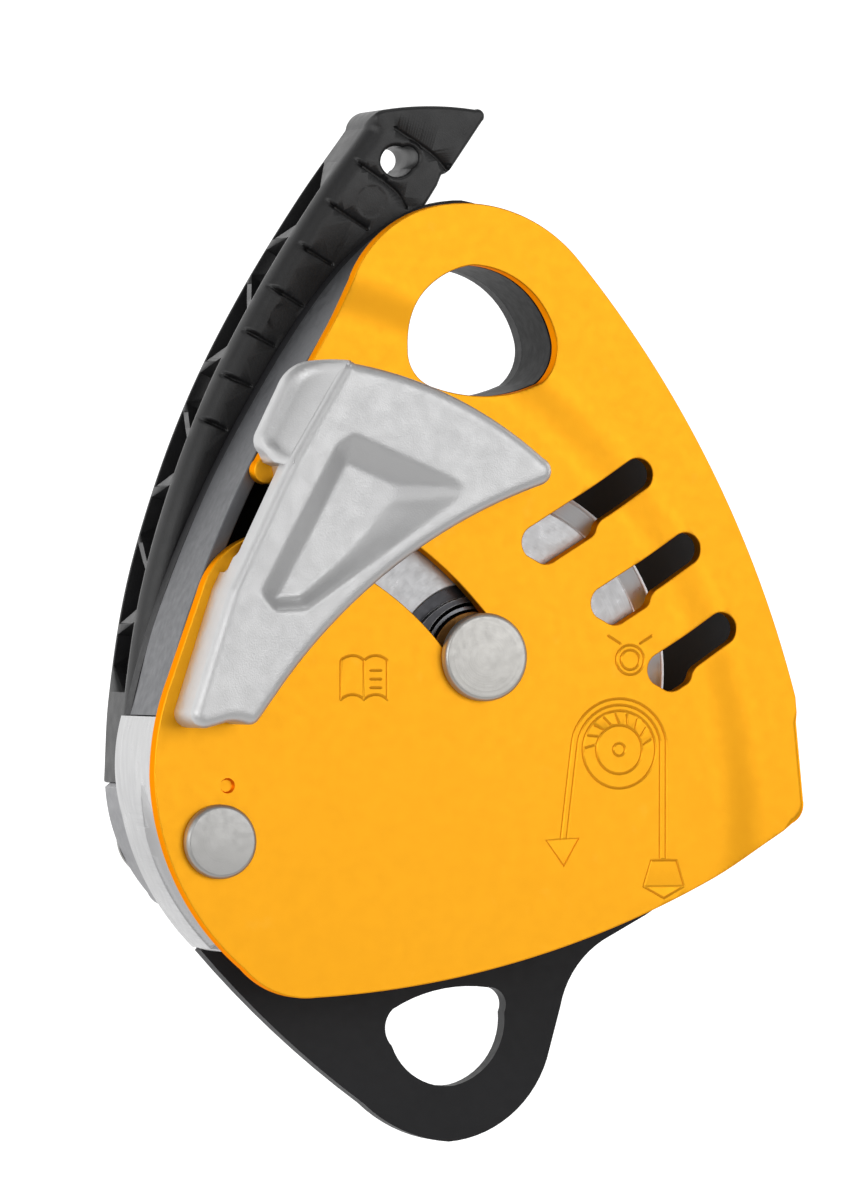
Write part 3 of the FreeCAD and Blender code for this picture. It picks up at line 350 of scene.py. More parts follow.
def grip_outline():
    path = Outline(-16.8, 46.4, 0.35).spline(GRIP_EDGE)
    path.step = 0.7
    path.arc(-73.4, -100.0, -72.7, -99.7).line(-66.3, -94.2).line(-62.8, -87.0)
    path.line(-47.8, -79.5)
    path.spline([(-43.5, -52.0), (-35.0, -28.0), (-22.0, -3.0), (-9.5, 19.2), (-0.4, 33.6)])
    path.line(0.6, 36.0).line(2.3, 36.6).line(10.2, 48.0).arc(10.6, 50.2, 8.6, 50.8)
    path.arc(-2.7, 51.4, -12.6, 50.5).arc(-15.4, 49.2, -16.8, 46.4)
    return path.close()


def grip_eye():
    path = Outline(-13.8, 38.4, 0.4).arc(-12.6, 41.4, -8.6, 42.0).arc(-5.2, 41.0, -6.4, 37.4)
    return path.arc(-9.6, 35.4, -13.8, 38.4).close()


def block_side():
    """Outer side of the brake block, from its top down."""
    return Outline(-75.4, -84.9).arc(-76.9, -95.0, -75.3, -106.7).arc(-70.3, -120.8, -58.9, -136.3)


def block_outline():
    """Brake block seen from the front; its inner face is concentric with the sheave."""
    face = 51.0
    top, bottom = polar(SHEAVE, face, 190.6), polar(SHEAVE, face, 233.0)
    path = block_side()
    path.arc(-54.0, -136.8, -49.5, -133.6).line(*bottom).around(SHEAVE, face, 233.0, 190.6)
    path.line(-54.5, top[1] + 0.8)
    return path.close()


def block_flange_outline():
    """Strip of the block that wraps the cut-back edge of the rear plate."""
    path = block_side()
    path.line(-55.75, -133.6).arc(-66.8, -118.8, -71.5, -105.9).arc(-73.0, -95.0, -71.5, -84.9)
    return path.close()


# ---------------------------------------------------------------- pressed pictograms, as strokes
def book_strokes():
    """An open book: the sign for reading the instructions."""
    left, right, top, bottom, middle = -34.3, -23.5, -72.6, -81.2, -28.9
    strokes = []
    for side in (left, right):
        strokes.append([(side, top), (side, bottom)])
        for level in (top, bottom):
            strokes.append(Outline(side, level).arc((side + middle) / 2, level + 1.1, middle, level).points)
    strokes.append([(middle, top), (middle, bottom)])
    for row in range(3):
        level = top - 2.2 - 1.9 * row
        strokes.append([(middle + 1.5, level), (right - 1.4, level)])
    return strokes


def lock_strokes():
    """A closed ring with two short lines: a locked connector."""
    at = (33.6, -72.6)
    strokes = [circle(at, 3.3) + [circle(at, 3.3)[0]], circle(at, 2.2) + [circle(at, 2.2)[0]]]
    for side in (-1, 1):
        strokes.append([(at[0] + side * 2.3, at[1] + 3.6), (at[0] + side * 5.2, at[1] + 5.4)])
    return strokes


def rope_strokes():
    """A rope over a wheel, pulled down by an arrow on one side and a weight on the other."""
    wheel = (31.0, -92.5)
    strokes = []
    for radius in (8.6, 5.4, 1.4):
        ring = circle(wheel, radius)
        strokes.append(ring + [ring[0]])
    for radius in (9.9, 11.3):
        strokes.append([polar(wheel, radius, 10 + 8 * index) for index in range(21)])
    for index in range(9):
        angle = 10 + 20 * index
        strokes.append([polar(wheel, 5.9, angle), polar(wheel, 8.0, angle + 7)])
    for offset in (9.9, 11.3):
        right, left = polar(wheel, offset, 10), polar(wheel, offset, 170)
        strokes.append([right, (wheel[0] + offset - 0.2, -116.6)])
        strokes.append([left, (left[0] - 2.6, -112.0)])
    strokes.append([(13.8, -112.6), (17.9, -118.2), (21.4, -112.2), (13.8, -112.6)])
    left, right = (36.8, -123.0), (46.4, -123.0)
    strokes.append([(38.6, -117.2), (44.6, -117.2), right, (41.6, -125.6), left, (38.6, -117.2)])
    strokes.append([left, right])
    return strokes


# ---------------------------------------------------------------- meshes
RIM_STEPS = 4


def vertex(mesh, x, y, z):
    return mesh.verts.new((x * MM, y * MM, z * MM))


def join(mesh, ring, following):
    count = len(ring)
    for index in range(count):
        after = (index + 1) % count
        mesh.faces.new((ring[index], ring[after], following[after], following[index]))


def capped(mesh, rings):
    """Closed tube through rings of vertices."""
    for one, following in zip(rings, rings[1:]):
        join(mesh, one, following)
    mesh.faces.new(rings[0])
    mesh.faces.new(rings[-1])


def fill(mesh, rings, face, lines=(), points=()):
    """Close rings of vertices with triangles at y = face(x, z), split along lines and at points."""
    flat = [np.array([(v.co.x / MM, v.co.z / MM) for v in ring]) for ring in rings]
    corners, edges, known, regions = [], [], [], []
    for ring, loop in zip(rings, flat):
        first = len(corners)
        corners += [Vector(point) for point in loop]
        known += ring
        members = [first + index for index in range(len(ring))]
        regions.append(members[::-1] if regions else members)
    for line in lines:
        first = len(corners)
        corners += [Vector(point) for point in line]
        edges += [(first + index, first + index + 1) for index in range(len(line) - 1)]
    corners += [Vector(point) for point in points]
    places, _, faces, origins, _, homes = delaunay_2d_cdt(corners, edges, regions, 0, 1e-5)
    vertices = []
    for place, sources in zip(places, origins):
        ring_vertex = min(sources, default=len(known))
        if ring_vertex < len(known):
            vertices.append(known[ring_vertex])
        else:
            vertices.append(vertex(mesh, place.x, face(place.x, place.y), place.y))
    for corner, home in zip(faces, homes):
        if list(home) == [0] and len({vertices[i] for i in corner}) == len(corner):
            mesh.faces.new([vertices[i] for i in corner])
    for loose in [v for v in mesh.verts if not v.link_faces]:
        mesh.verts.remove(loose)


def room_for(loop, normal):
    """How far each point of a loop can move inward before it would pass its neighbours."""
    length = np.linalg.norm(normal, axis=1)
    away = loop[None, :, :] - loop[:, None, :]
    ahead = (away * (normal / length[:, None])[:, None, :]).sum(2)
    radius = np.where(ahead > 1e-6, (away ** 2).sum(2) / np.maximum(2 * ahead, 1e-6), 1e6)
    reach = 0.9 * radius.min(1) / length
    return np.maximum(reach, np.minimum(np.roll(reach, 1), np.roll(reach, -1)))


def plate(mesh, outline, holes, front, back, rim, back_rim, lines=(), points=(), walls=(), back_lines=()):
    """Sheet between y = front(x, z) and y = back(x, z), with rounded rims and optional shaped side walls.

    walls are (share of the way from the front to the back, inset function of x and z) for extra rings.
    """
    fronts, backs = [], []
    for loop in [turned(outline, True)] + [turned(hole, False) for hole in holes]:
        normal = inward(loop)
        room = room_for(loop, normal)

        def ring(inset, level):
            made = []
            for (x, z), (nx, nz), most in zip(loop, normal, room):
                depth = min(inset(x, z), most)
                px, pz = x + nx * depth, z + nz * depth
                made.append(vertex(mesh, px, level(px, pz, x, z), pz))
            return made

        rings = []
        for step in range(RIM_STEPS, -1, -1):
            angle = math.pi / 2 * step / RIM_STEPS
            rings.append(ring(lambda x, z: rim(x, z) * (1 - math.cos(angle)),
                              lambda px, pz, x, z: front(px, pz) + rim(x, z) * (1 - math.sin(angle))))
        for share, inset in walls:
            rings.append(ring(inset, lambda px, pz, x, z: (front(x, z) + rim(x, z)) * (1 - share)
                              + (back(x, z) - back_rim(x, z)) * share))
        for step in range(RIM_STEPS + 1):
            angle = math.pi / 2 * step / RIM_STEPS
            rings.append(ring(lambda x, z: back_rim(x, z) * (1 - math.cos(angle)) + last_inset(walls, x, z),
                              lambda px, pz, x, z: back(px, pz) - back_rim(x, z) * (1 - math.sin(angle))))
        for one, following in zip(rings, rings[1:]):
            join(mesh, one, following)
        fronts.append(rings[0])
        backs.append(rings[-1])
    fill(mesh, fronts, front, lines, points)
    fill(mesh, backs, back, back_lines)


def last_inset(walls, x, z):
    return walls[-1][1](x, z) if walls else 0.0


def even(value):
    """A rim or a level that is the same all over."""
    return lambda *_: value


def soften(profile, radius, steps=3):
    """Round the corners of a closed (radius, y) profile."""
    rounded = []
    count = len(profile)
    for index in range(count):
        before, here, after = (Vector(profile[(index + shift) % count]) for shift in (-1, 0, 1))
        reach = min(radius, (before - here).length / 2.2, (after - here).length / 2.2)
        start, end = here + (before - here).normalized() * reach, here + (after - here).normalized() * reach
        for step in range(steps + 1):
            t = step / steps
            rounded.append(tuple(start * (1 - t) ** 2 + here * 2 * t * (1 - t) + end * t * t))
    return rounded


def lathe(mesh, at, profile, count=128):
    """Turn a closed (radius, y) profile about an axis along Y; a radius of 0 makes a pole."""
    rings = []
    for radius, y in profile:
        if radius < 1e-4:
            rings.append([vertex(mesh, at[0], y, at[1])] * count)
        else:
            rings.append([vertex(mesh, *at_level(polar(at, radius, 360 * index / count), y))
                          for index in range(count)])
    for ring, following in zip(rings, rings[1:] + rings[:1]):
        for index in range(count):
            after = (index + 1) % count
            corners = [ring[index], ring[after], following[after], following[index]]
            unique = list(dict.fromkeys(corners))
            if len(unique) > 2:
                mesh.faces.new(unique)


def at_level(point, y):
    return point[0], y, point[1]


def box_bar(mesh, start, end, half, near, far):
    """Straight bar between two (x, z) points, from y = near to y = far."""
    run = math.dist(start, end)
    side = (-(end[1] - start[1]) / run * half, (end[0] - start[0]) / run * half)
    corners = [(start[0] + side[0], start[1] + side[1]), (end[0] + side[0], end[1] + side[1]),
               (end[0] - side[0], end[1] - side[1]), (start[0] - side[0], start[1] - side[1])]
    capped(mesh, [[vertex(mesh, x, y, z) for x, z in corners] for y in (near, far)])


def placed(name, data):
    """A new object in the scene."""
    piece = bpy.data.objects.new(name, data)
    bpy.context.scene.collection.objects.link(piece)
    return piece


def solid(mesh, name):
    """An object made of a bmesh, which is used up."""
    data = bpy.data.meshes.new(name)
    mesh.to_mesh(data)
    mesh.free()
    return placed(name, data)


def made(mesh, name, body, slot_name, finish, nodes=(), sharp=30.0):
    """Turn a bmesh into a piece that rides on a body and stands for CAD nodes."""
    bmesh.ops.recalc_face_normals(mesh, faces=mesh.faces)
    return dressed(solid(mesh, name), body, finish, nodes, sharp)


def finished(piece, finish, sharp):
    """Give a piece its material and its shading, smooth up to an angle in degrees."""
    piece.data.materials.clear()
    piece.data.materials.append(finish)
    piece.data.shade_smooth()
    piece.data.set_sharp_from_angle(angle=math.radians(sharp))
    weighted = piece.modifiers.new("face_weighted", "WEIGHTED_NORMAL")
    weighted.keep_sharp = True


def dressed(piece, body, finish, nodes, sharp=30.0):
    finished(piece, finish, sharp)
    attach(piece, body)
    if nodes:
        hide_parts(*nodes)
    return piece


def applied(piece):
    """Replace a piece's mesh with what its modifiers make of it."""
    bpy.context.view_layer.update()
    result = bpy.data.meshes.new_from_object(piece.evaluated_get(bpy.context.evaluated_depsgraph_get()))
    piece.modifiers.clear()
    piece.data = result


def carved(piece, cutters):
    """Subtract closed cutter meshes from a piece."""
    for number, mesh in enumerate(cutters):
        bmesh.ops.recalc_face_normals(mesh, faces=mesh.faces)
        tool = solid(mesh, piece.name + "_cutter")
        modifier = piece.modifiers.new("cut_%d" % number, "BOOLEAN")
        modifier.operation = "DIFFERENCE"
        modifier.solver = "EXACT"
        modifier.object = tool
        applied(piece)
        bpy.data.objects.remove(tool)


def eased(node, finish, width=0.35, sharp=30.0):
    """A CAD piece with its edges broken, in place of the sharp one."""
    source = frame["nodes"][node]
    mesh = bmesh.new()
    mesh.from_mesh(source.data)
    bmesh.ops.remove_doubles(mesh, verts=mesh.verts, dist=0.001 * MM)
    bmesh.ops.dissolve_limit(mesh, angle_limit=math.radians(0.6), verts=mesh.verts, edges=mesh.edges)
    piece = solid(mesh, node + "_eased")
    bevel = piece.modifiers.new("broken_edges", "BEVEL")
    bevel.width = width * MM
    bevel.segments = 2
    bevel.limit_method = "ANGLE"
    bevel.angle_limit = math.radians(35)
    bevel.use_clamp_overlap = True
    return dressed(piece, source["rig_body"], finish, [node], sharp)


def slot_of(node):
    return next(part["material_slot"] for part in frame["record"]["subparts"] if part["node"] == node)


# ---------------------------------------------------------------- finishes
class Finish:
    """A procedural material: one shader whose colour, roughness and normal are varied by textures."""

    def __init__(self, name, colour, roughness, metallic=0.0):
        self.material = bpy.data.materials.new(name)
        self.material.use_nodes = True
        self.nodes = self.material.node_tree.nodes
        self.links = self.material.node_tree.links
        self.shader = self.nodes["Principled BSDF"]
        self.colour = (*colour, 1.0)
        self.shader.inputs["Base Color"].default_value = self.colour
        self.shader.inputs["Roughness"].default_value = roughness
        self.shader.inputs["Metallic"].default_value = metallic
        self.place = self.nodes.new("ShaderNodeTexCoord").outputs["Object"]

    def join(self, output, node, socket):
        self.links.new(output, node.inputs[socket])

    def noise(self, scale, detail=4.0, stretch=(1.0, 1.0, 1.0)):
        mapping = self.nodes.new("ShaderNodeMapping")
        mapping.inputs["Scale"].default_value = stretch
        self.join(self.place, mapping, "Vector")
        texture = self.nodes.new("ShaderNodeTexNoise")
        texture.inputs["Scale"].default_value = scale
        texture.inputs["Detail"].default_value = detail
        self.join(mapping.outputs["Vector"], texture, "Vector")
        return texture.outputs["Fac"]

    def ranged(self, source, low, high, start=0.3, end=0.7):
        node = self.nodes.new("ShaderNodeMapRange")
        for socket, value in (("From Min", start), ("From Max", end), ("To Min", low), ("To Max", high)):
            node.inputs[socket].default_value = value
        self.join(source, node, "Value")
        return node.outputs["Result"]

    def mixed(self, factor, first, second):
        """Colour going from first to second; each is a colour or a socket."""
        node = self.nodes.new("ShaderNodeMix")
        node.data_type = "RGBA"
        for index, value in ((6, first), (7, second)):
            if isinstance(value, bpy.types.NodeSocket):
                self.links.new(value, node.inputs[index])
            else:
                node.inputs[index].default_value = value
        self.links.new(factor, node.inputs[0])
        return node.outputs[2]

    def tint(self, scale, other, share=1.0, stretch=(1.0, 1.0, 1.0)):
        """Drift of colour towards another one."""
        factor = self.ranged(self.noise(scale, 3.0, stretch), 0.0, share)
        mixed = self.mixed(factor, self.current(), (*other, 1.0))
        self.join(mixed, self.shader, "Base Color")
        return self

    def current(self):
        """What now feeds the base colour."""
        links = self.shader.inputs["Base Color"].links
        return links[0].from_socket if links else self.colour

    def uneven(self, scale, low, high, stretch=(1.0, 1.0, 1.0)):
        """Roughness wandering between two values."""
        self.join(self.ranged(self.noise(scale, 5.0, stretch), low, high), self.shader, "Roughness")
        return self

    def grain(self, scale, depth, stretch=(1.0, 1.0, 1.0), detail=3.0):
        """Fine relief, depth in millimetres; each call adds to the one before."""
        return self.relief(self.noise(scale, detail, stretch), depth)

    def relief(self, source, depth, strength=1.0):
        bump = self.nodes.new("ShaderNodeBump")
        bump.inputs["Distance"].default_value = depth * MM
        bump.inputs["Strength"].default_value = strength
        self.join(source, bump, "Height")
        links = self.shader.inputs["Normal"].links
        if links:
            self.join(links[0].from_socket, bump, "Normal")
        self.join(bump.outputs["Normal"], self.shader, "Normal")
        return self

    def pits(self, scale, depth):
        cells = self.nodes.new("ShaderNodeTexVoronoi")
        cells.inputs["Scale"].default_value = scale
        self.join(self.place, cells, "Vector")
        return self.relief(cells.outputs["Distance"], depth)

    def vector(self, operation, *values):
        """Vector arithmetic on sockets and plain triples."""
        node = self.nodes.new("ShaderNodeVectorMath")
        node.operation = operation
        for socket, value in zip(node.inputs, values):
            if isinstance(value, bpy.types.NodeSocket):
                self.links.new(value, socket)
            else:
                socket.default_value = value
        return node

    def turned_about(self, at, pitch, depth):
        """Circular tool marks about an axis along Y."""
        offset = self.vector("SUBTRACT", self.place, (at[0] * MM, 0.0, at[1] * MM)).outputs[0]
        flat = self.vector("MULTIPLY", offset, (1.0, 0.0, 1.0)).outputs[0]
        length = self.vector("LENGTH", flat)
        texture = self.nodes.new("ShaderNodeTexNoise")
        texture.noise_dimensions = "1D"
        texture.inputs["Scale"].default_value = 1.0 / (pitch * MM)
        texture.inputs["Detail"].default_value = 3.0
        self.join(length.outputs["Value"], texture, "W")
        self.relief(texture.outputs["Fac"], depth)
        return self

    def worn(self, colour, radius, share=0.7):
        """Lighter where an edge has been rubbed, broken up by noise."""
        bevel = self.nodes.new("ShaderNodeBevel")
        bevel.samples = 4
        bevel.inputs["Radius"].default_value = radius * MM
        geometry = self.nodes.new("ShaderNodeNewGeometry")
        dot = self.vector("DOT_PRODUCT", bevel.outputs["Normal"], geometry.outputs["Normal"])
        edge = self.ranged(dot.outputs["Value"], share, 0.0, 0.80, 0.985)
        broken = self.nodes.new("ShaderNodeMath")
        broken.operation = "MULTIPLY"
        self.links.new(edge, broken.inputs[0])
        self.links.new(self.ranged(self.noise(260.0), 0.35, 1.0), broken.inputs[1])
        self.join(self.mixed(broken.outputs[0], self.current(), (*colour, 1.0)), self.shader, "Base Color")
        return self

    def specks(self, scale, colour, share):
        """Sparse small marks from handling."""
        spots = self.ranged(self.noise(scale, 6.0), 0.0, share, 0.66, 0.72)
        self.join(self.mixed(spots, self.current(), (*colour, 1.0)), self.shader, "Base Color")
        return self


def srgb(red, green, blue):
    """Linear colour for a display colour of 0 to 255."""
    def linear(value):
        value /= 255.0
        return value / 12.92 if value <= 0.04045 else ((value + 0.055) / 1.055) ** 2.4

    return linear(red), linear(green), linear(blue)


def orange_anodised():
    finish = Finish("orange_anodised", srgb(246, 172, 36), 0.42, 1.0)
    finish.shader.inputs["Specular Tint"].default_value = (*srgb(240, 150, 30), 1.0)
    finish.tint(9.0, srgb(243, 167, 31), 0.4)
    finish.uneven(420.0, 0.39, 0.44)
    finish.grain(5200.0, 0.006)
    finish.worn(srgb(248, 180, 52), 0.2, 0.3)
    finish.specks(150.0, srgb(255, 196, 80), 0.08)
    return finish.material


def black_anodised(name, colour, other, shine):
    finish = Finish(name, colour, 0.5, 0.0)
    finish.shader.inputs["Specular IOR Level"].default_value = shine
    finish.tint(20.0, other, 0.6)
    finish.uneven(500.0, 0.48, 0.56)
    finish.grain(4500.0, 0.005)
    finish.worn(srgb(70, 70, 73), 0.2, 0.25)
    return finish.material


def grey_anodised():
    finish = Finish("grey_anodised", srgb(104, 105, 108), 0.40, 0.85)
    finish.tint(16.0, srgb(94, 95, 98), 0.6)
    finish.uneven(480.0, 0.36, 0.5)
    finish.grain(4200.0, 0.010)
    return finish.material


def machined_aluminium():
    finish = Finish("machined_aluminium", srgb(194, 194, 194), 0.34, 0.85)
    finish.tint(30.0, srgb(178, 178, 180), 0.7)
    finish.uneven(700.0, 0.26, 0.44, (1.0, 1.0, 0.15))
    finish.grain(1500.0, 0.018, (1.0, 1.0, 0.06))
    finish.worn(srgb(240, 240, 240), 0.35, 0.6)
    return finish.material


def satin_aluminium():
    finish = Finish("satin_aluminium", srgb(150, 150, 152), 0.42, 0.85)
    finish.tint(26.0, srgb(132, 132, 135), 0.7)
    finish.uneven(500.0, 0.36, 0.5)
    finish.grain(3600.0, 0.014)
    finish.worn(srgb(214, 214, 214), 0.35, 0.6)
    return finish.material


def blasted_casting():
    finish = Finish("blasted_casting", srgb(205, 205, 205), 0.42, 0.85)
    finish.tint(18.0, srgb(194, 194, 195), 0.8)
    finish.uneven(320.0, 0.38, 0.48)
    finish.pits(2400.0, 0.016)
    finish.grain(3000.0, 0.030)
    return finish.material


def turned_metal(name, at, colour, other, roughness, metallic=0.9):
    finish = Finish(name, colour, roughness, metallic)
    finish.tint(40.0, other, 0.7)
    finish.uneven(650.0, roughness - 0.06, roughness + 0.08)
    finish.turned_about(at, 0.55, 0.016)
    finish.grain(5000.0, 0.006)
    finish.worn(srgb(244, 244, 244), 0.3, 0.6)
    return finish.material


def hard_steel():
    finish = Finish("hard_steel", srgb(150, 150, 152), 0.34, 0.9)
    finish.tint(45.0, srgb(120, 121, 124), 0.8)
    finish.uneven(600.0, 0.28, 0.44)
    finish.grain(2400.0, 0.012, (1.0, 1.0, 0.2))
    finish.worn(srgb(214, 214, 214), 0.3, 0.6)
    return finish.material


def spring_steel():
    finish = Finish("spring_steel", srgb(128, 130, 134), 0.30, 1.0)
    finish.tint(60.0, srgb(104, 104, 110), 0.7)
    finish.uneven(900.0, 0.24, 0.38)
    finish.grain(3200.0, 0.008)
    return finish.material


def blackened_screw():
    finish = Finish("blackened_screw", srgb(40, 40, 42), 0.38, 0.7)
    finish.tint(80.0, srgb(58, 58, 60), 0.8)
    finish.uneven(800.0, 0.32, 0.5)
    finish.grain(3600.0, 0.010)
    finish.worn(srgb(132, 132, 136), 0.3, 0.7)
    return finish.material


def sintered_bronze():
    finish = Finish("sintered_bronze", srgb(176, 130, 72), 0.42, 0.9)
    finish.tint(90.0, srgb(148, 104, 56), 0.8)
    finish.uneven(700.0, 0.34, 0.54)
    finish.pits(2600.0, 0.015)
    return finish.material


def moulded_nylon():
    finish = Finish("moulded_nylon", srgb(24, 24, 25), 0.40)
    finish.tint(30.0, srgb(30, 30, 31), 0.7)
    finish.uneven(260.0, 0.36, 0.46)
    finish.pits(2600.0, 0.014)
    finish.grain(3000.0, 0.016)
    finish.worn(srgb(60, 60, 62), 0.3, 0.3)
    return finish.material


# Steel darkened as painted shade: the hub and the clutch sit in a shadowed recess behind the sheave, and
# this darker copy of the steel paints that shade on them.
def recess_shaded_steel():
    finish = Finish("recess_shaded_steel", srgb(74, 74, 77), 0.30, 0.95)
    finish.tint(45.0, srgb(58, 58, 61), 0.8)
    finish.uneven(600.0, 0.26, 0.40)
    finish.turned_about(AXLE, 0.6, 0.012)
    finish.worn(srgb(214, 214, 214), 0.3, 0.8)
    return finish.material


SHEAVE_METAL = turned_metal("turned_sheave", SHEAVE, srgb(176, 176, 177), srgb(162, 162, 164), 0.33)
AXLE_METAL = turned_metal("turned_axle", AXLE, srgb(190, 188, 184), srgb(176, 174, 170), 0.36, 0.8)
PIVOT_METAL = turned_metal("turned_pivot", PIVOT, srgb(174, 173, 171), srgb(162, 161, 159), 0.36, 0.8)
ORANGE = orange_anodised()
CAST = blasted_casting()
MACHINED = machined_aluminium()
NYLON = moulded_nylon()
BLACK = black_anodised("black_anodised", srgb(22, 22, 24), srgb(32, 32, 35), 0.25)
# A darker and duller copy of the black anodising, which is painted shade for the spacer lining the
# attachment hole.
SHADED_BLACK = black_anodised("black_anodised_painted_shade", srgb(13, 13, 14), srgb(18, 18, 20), 0.12)
RECESS_SHADED_STEEL = recess_shaded_steel()
FINISHES = {
    "orange_plate": ORANGE, "black_plate": BLACK, "grey_spine": grey_anodised(),
    "machined_alloy": MACHINED, "satin_alloy": satin_aluminium(), "cast_alloy": CAST,
    "turned_sheave": SHEAVE_METAL, "turned_steel": AXLE_METAL, "hard_steel": hard_steel(),
    "spring_steel": spring_steel(), "black_screw": blackened_screw(), "bronze": sintered_bronze(),
    "black_nylon": NYLON,
}


# ---------------------------------------------------------------- the swinging front plate
GROOVE_HALF = 0.34
GROOVE_DEPTH = 0.18
CREASE_STEPS = 12
CREASE_MARGIN = 1.1
DIMPLE = (-60.5, -100.0)
DIMPLE_RADIUS = 1.7
DIMPLE_DEPTH = 1.2
DIMPLE_BANK = 0.22
PIVOT_HOLE = 6.6
ROPE_EDGE_RADIUS = 1.5
ROPE_CORNER = (71.0, -84.0)


class Strokes:
    """Lines pressed into a face as grooves, half wide each way, with sloping banks."""

    def __init__(self, lines, half, depth, bank=None):
        self.lines, self.half, self.depth = lines, half, depth
        self.bank = bank or half
        self.near = Near(lines)

    def at(self, x, z):
        return self.depth * min(1.0, max(0.0, (self.half - self.near.gap(x, z)) / self.bank))

    def edges(self):
        """Bottom and both banks of every groove, the banks of an open one joined round its ends."""
        found = []
        widths = [self.half] if self.bank == self.half else [self.half, self.half - self.bank]
        for line in self.lines:
            found.append(line)
            for width in widths:
                one, other = beside(line, width), beside(line, -width)
                if math.dist(line[0], line[-1]) < 1e-6:
                    found += [one, other]
                else:
                    first, last = past(line[1], line[0], width), past(line[-2], line[-1], width)
                    found.append(one + [last] + other[::-1] + [first, one[0]])
        return found


def past(before, end, distance):
    """The point a little beyond the end of a line."""
    run = math.dist(before, end)
    return tuple(end[k] + (end[k] - before[k]) / run * distance for k in (0, 1))


def joggle(x, z):
    """How far the front plate is set back, beyond its crease."""
    radius = math.dist((x, z), PIVOT)
    return JOGGLE_DEPTH * smooth((radius - JOGGLE_START) / JOGGLE_RUN)


def crease_lines(loops):
    """Arcs along the crease, kept clear of every edge."""
    radii = [JOGGLE_START + JOGGLE_RUN * step / CREASE_STEPS for step in range(CREASE_STEPS + 1)]
    return arcs_in(radii, loops, CREASE_MARGIN)


def arcs_in(radii, loops, margin):
    """The parts of arcs about the pivot that lie within the first loop and outside the others."""
    arcs = [[polar(PIVOT, radius, -30 + 0.4 * index) for index in range(340)] for radius in radii]
    return parts_in(arcs, loops, margin)


def parts_in(lines, loops, margin):
    """The parts of lines within the first loop and outside the others, clear of all by a margin."""
    found = []
    borders = [list(loop) + [loop[0]] for loop in loops]
    for line in lines:
        points = np.array(line)
        good = (gap_to(points, borders) > margin) & inside(points, np.array(loops[0]))
        for loop in loops[1:]:
            good &= ~inside(points, np.array(loop))
        run = []
        for point, wanted in zip(line, good):
            if wanted:
                run.append(point)
                continue
            if len(run) > 1:
                found.append(run)
            run = []
        if len(run) > 1:
            found.append(run)
    return found


def moved_in(outline, rim):
    """An outline moved inward by its rim's radius."""
    loop = turned(outline, True)
    normal = inward(loop)
    return [(x + nx * min(rim(x, z), most), z + nz * min(rim(x, z), most))
            for (x, z), (nx, nz), most in zip(loop, normal, room_for(loop, normal))]


def rope_edge(x, z):
    """Rim radius of the front plate: a thin broken edge, and a fuller one where the rope leaves."""
    share = smooth((x - ROPE_CORNER[0]) / 3.0) * smooth((ROPE_CORNER[1] - z) / 3.0)
    return EDGE_BREAK + (ROPE_EDGE_RADIUS - EDGE_BREAK) * share


def make_front_plate():
    """The swinging plate, with its crease, holes, dimple and pressed signs."""
    holes = [attachment_hole_outline(), circle(PIVOT, PIVOT_HOLE)] + [vent_outline(*vent) for vent in VENTS]
    marks = Strokes(book_strokes() + lock_strokes() + rope_strokes(), GROOVE_HALF, GROOVE_DEPTH)
    shares = (1.0, 0.9, 1.0 - DIMPLE_BANK)
    rings = [circle(DIMPLE, DIMPLE_RADIUS * share, 0.35) for share in shares]
    outline = front_plate_outline()

    def front(x, z):
        within = 1.0 - math.dist((x, z), DIMPLE) / DIMPLE_RADIUS
        hollow = DIMPLE_DEPTH * smooth(within / DIMPLE_BANK)
        return FACE + joggle(x, z) + marks.at(x, z) + hollow

    def back(x, z):
        return FACE + PLATE_THICKNESS + joggle(x, z)

    lines = crease_lines([outline] + holes) + marks.edges() + [ring + [ring[0]] for ring in rings]
    mesh = bmesh.new()
    plate(mesh, outline, holes, front, back, rope_edge, even(EDGE_BREAK), lines)
    made(mesh, "front_plate", "side_plate", "orange_plate", ORANGE, ["front_side_plate"], 24.0)


# ---------------------------------------------------------------- the braking horn
WING_FRONT = low("friction_horn")[1]
FOOT_FRONT = FACE - 2.6
WING_RIM = 2.2
FLANGE_RIM = 0.7
POCKET_DEPTH = 3.5
TUNNEL_DEPTH = 3.4
TUNNEL_CLEARANCE = 0.7
TUNNEL_BANK = 0.2
HORN_GAP = 0.02
POCKET_BLEND = 0.14
NOTCH_LEVEL = -53.0
NOTCH_DEPTH = 1.5
SADDLE_RISE = 10.8
SADDLE_REACH = 10.5


def pocket_depth(x, z):
    """Depth of the hollow: the lowest of its banks and its floor, blended where they meet."""
    corners = horn_pocket()
    blend = math.exp(-POCKET_DEPTH / POCKET_BLEND)
    for ((ax, az), slope), ((bx, bz), _) in zip(corners, corners[1:] + corners[:1]):
        run = math.dist((ax, az), (bx, bz))
        side = -((bx - ax) * (z - az) - (bz - az) * (x - ax)) / run
        if slope == LOWER_SLOPE:
            slope += 1.6 * max(0.0, (LOWER_TOP - z) / 23.0) ** 1.6
        blend += math.exp(min(-side * slope / POCKET_BLEND, 40.0))
    depth = -POCKET_BLEND * math.log(blend)
    return POCKET_BLEND * math.log(1.0 + math.exp(depth / POCKET_BLEND * 1.6)) / 1.6


def grid(loop, step):
    """Points spaced evenly inside a loop, clear of its edge."""
    points = np.array(loop)
    lowest, highest = points.min(0), points.max(0)
    xs = np.arange(lowest[0], highest[0], step)
    zs = np.arange(lowest[1], highest[1], step)
    found = np.array([(x + (row % 2) * step / 2, z) for row, z in enumerate(zs) for x in xs])
    found = found[inside(found, points)]
    return found[gap_to(found, [np.vstack([points, points[:1]])]) > 0.7 * step]


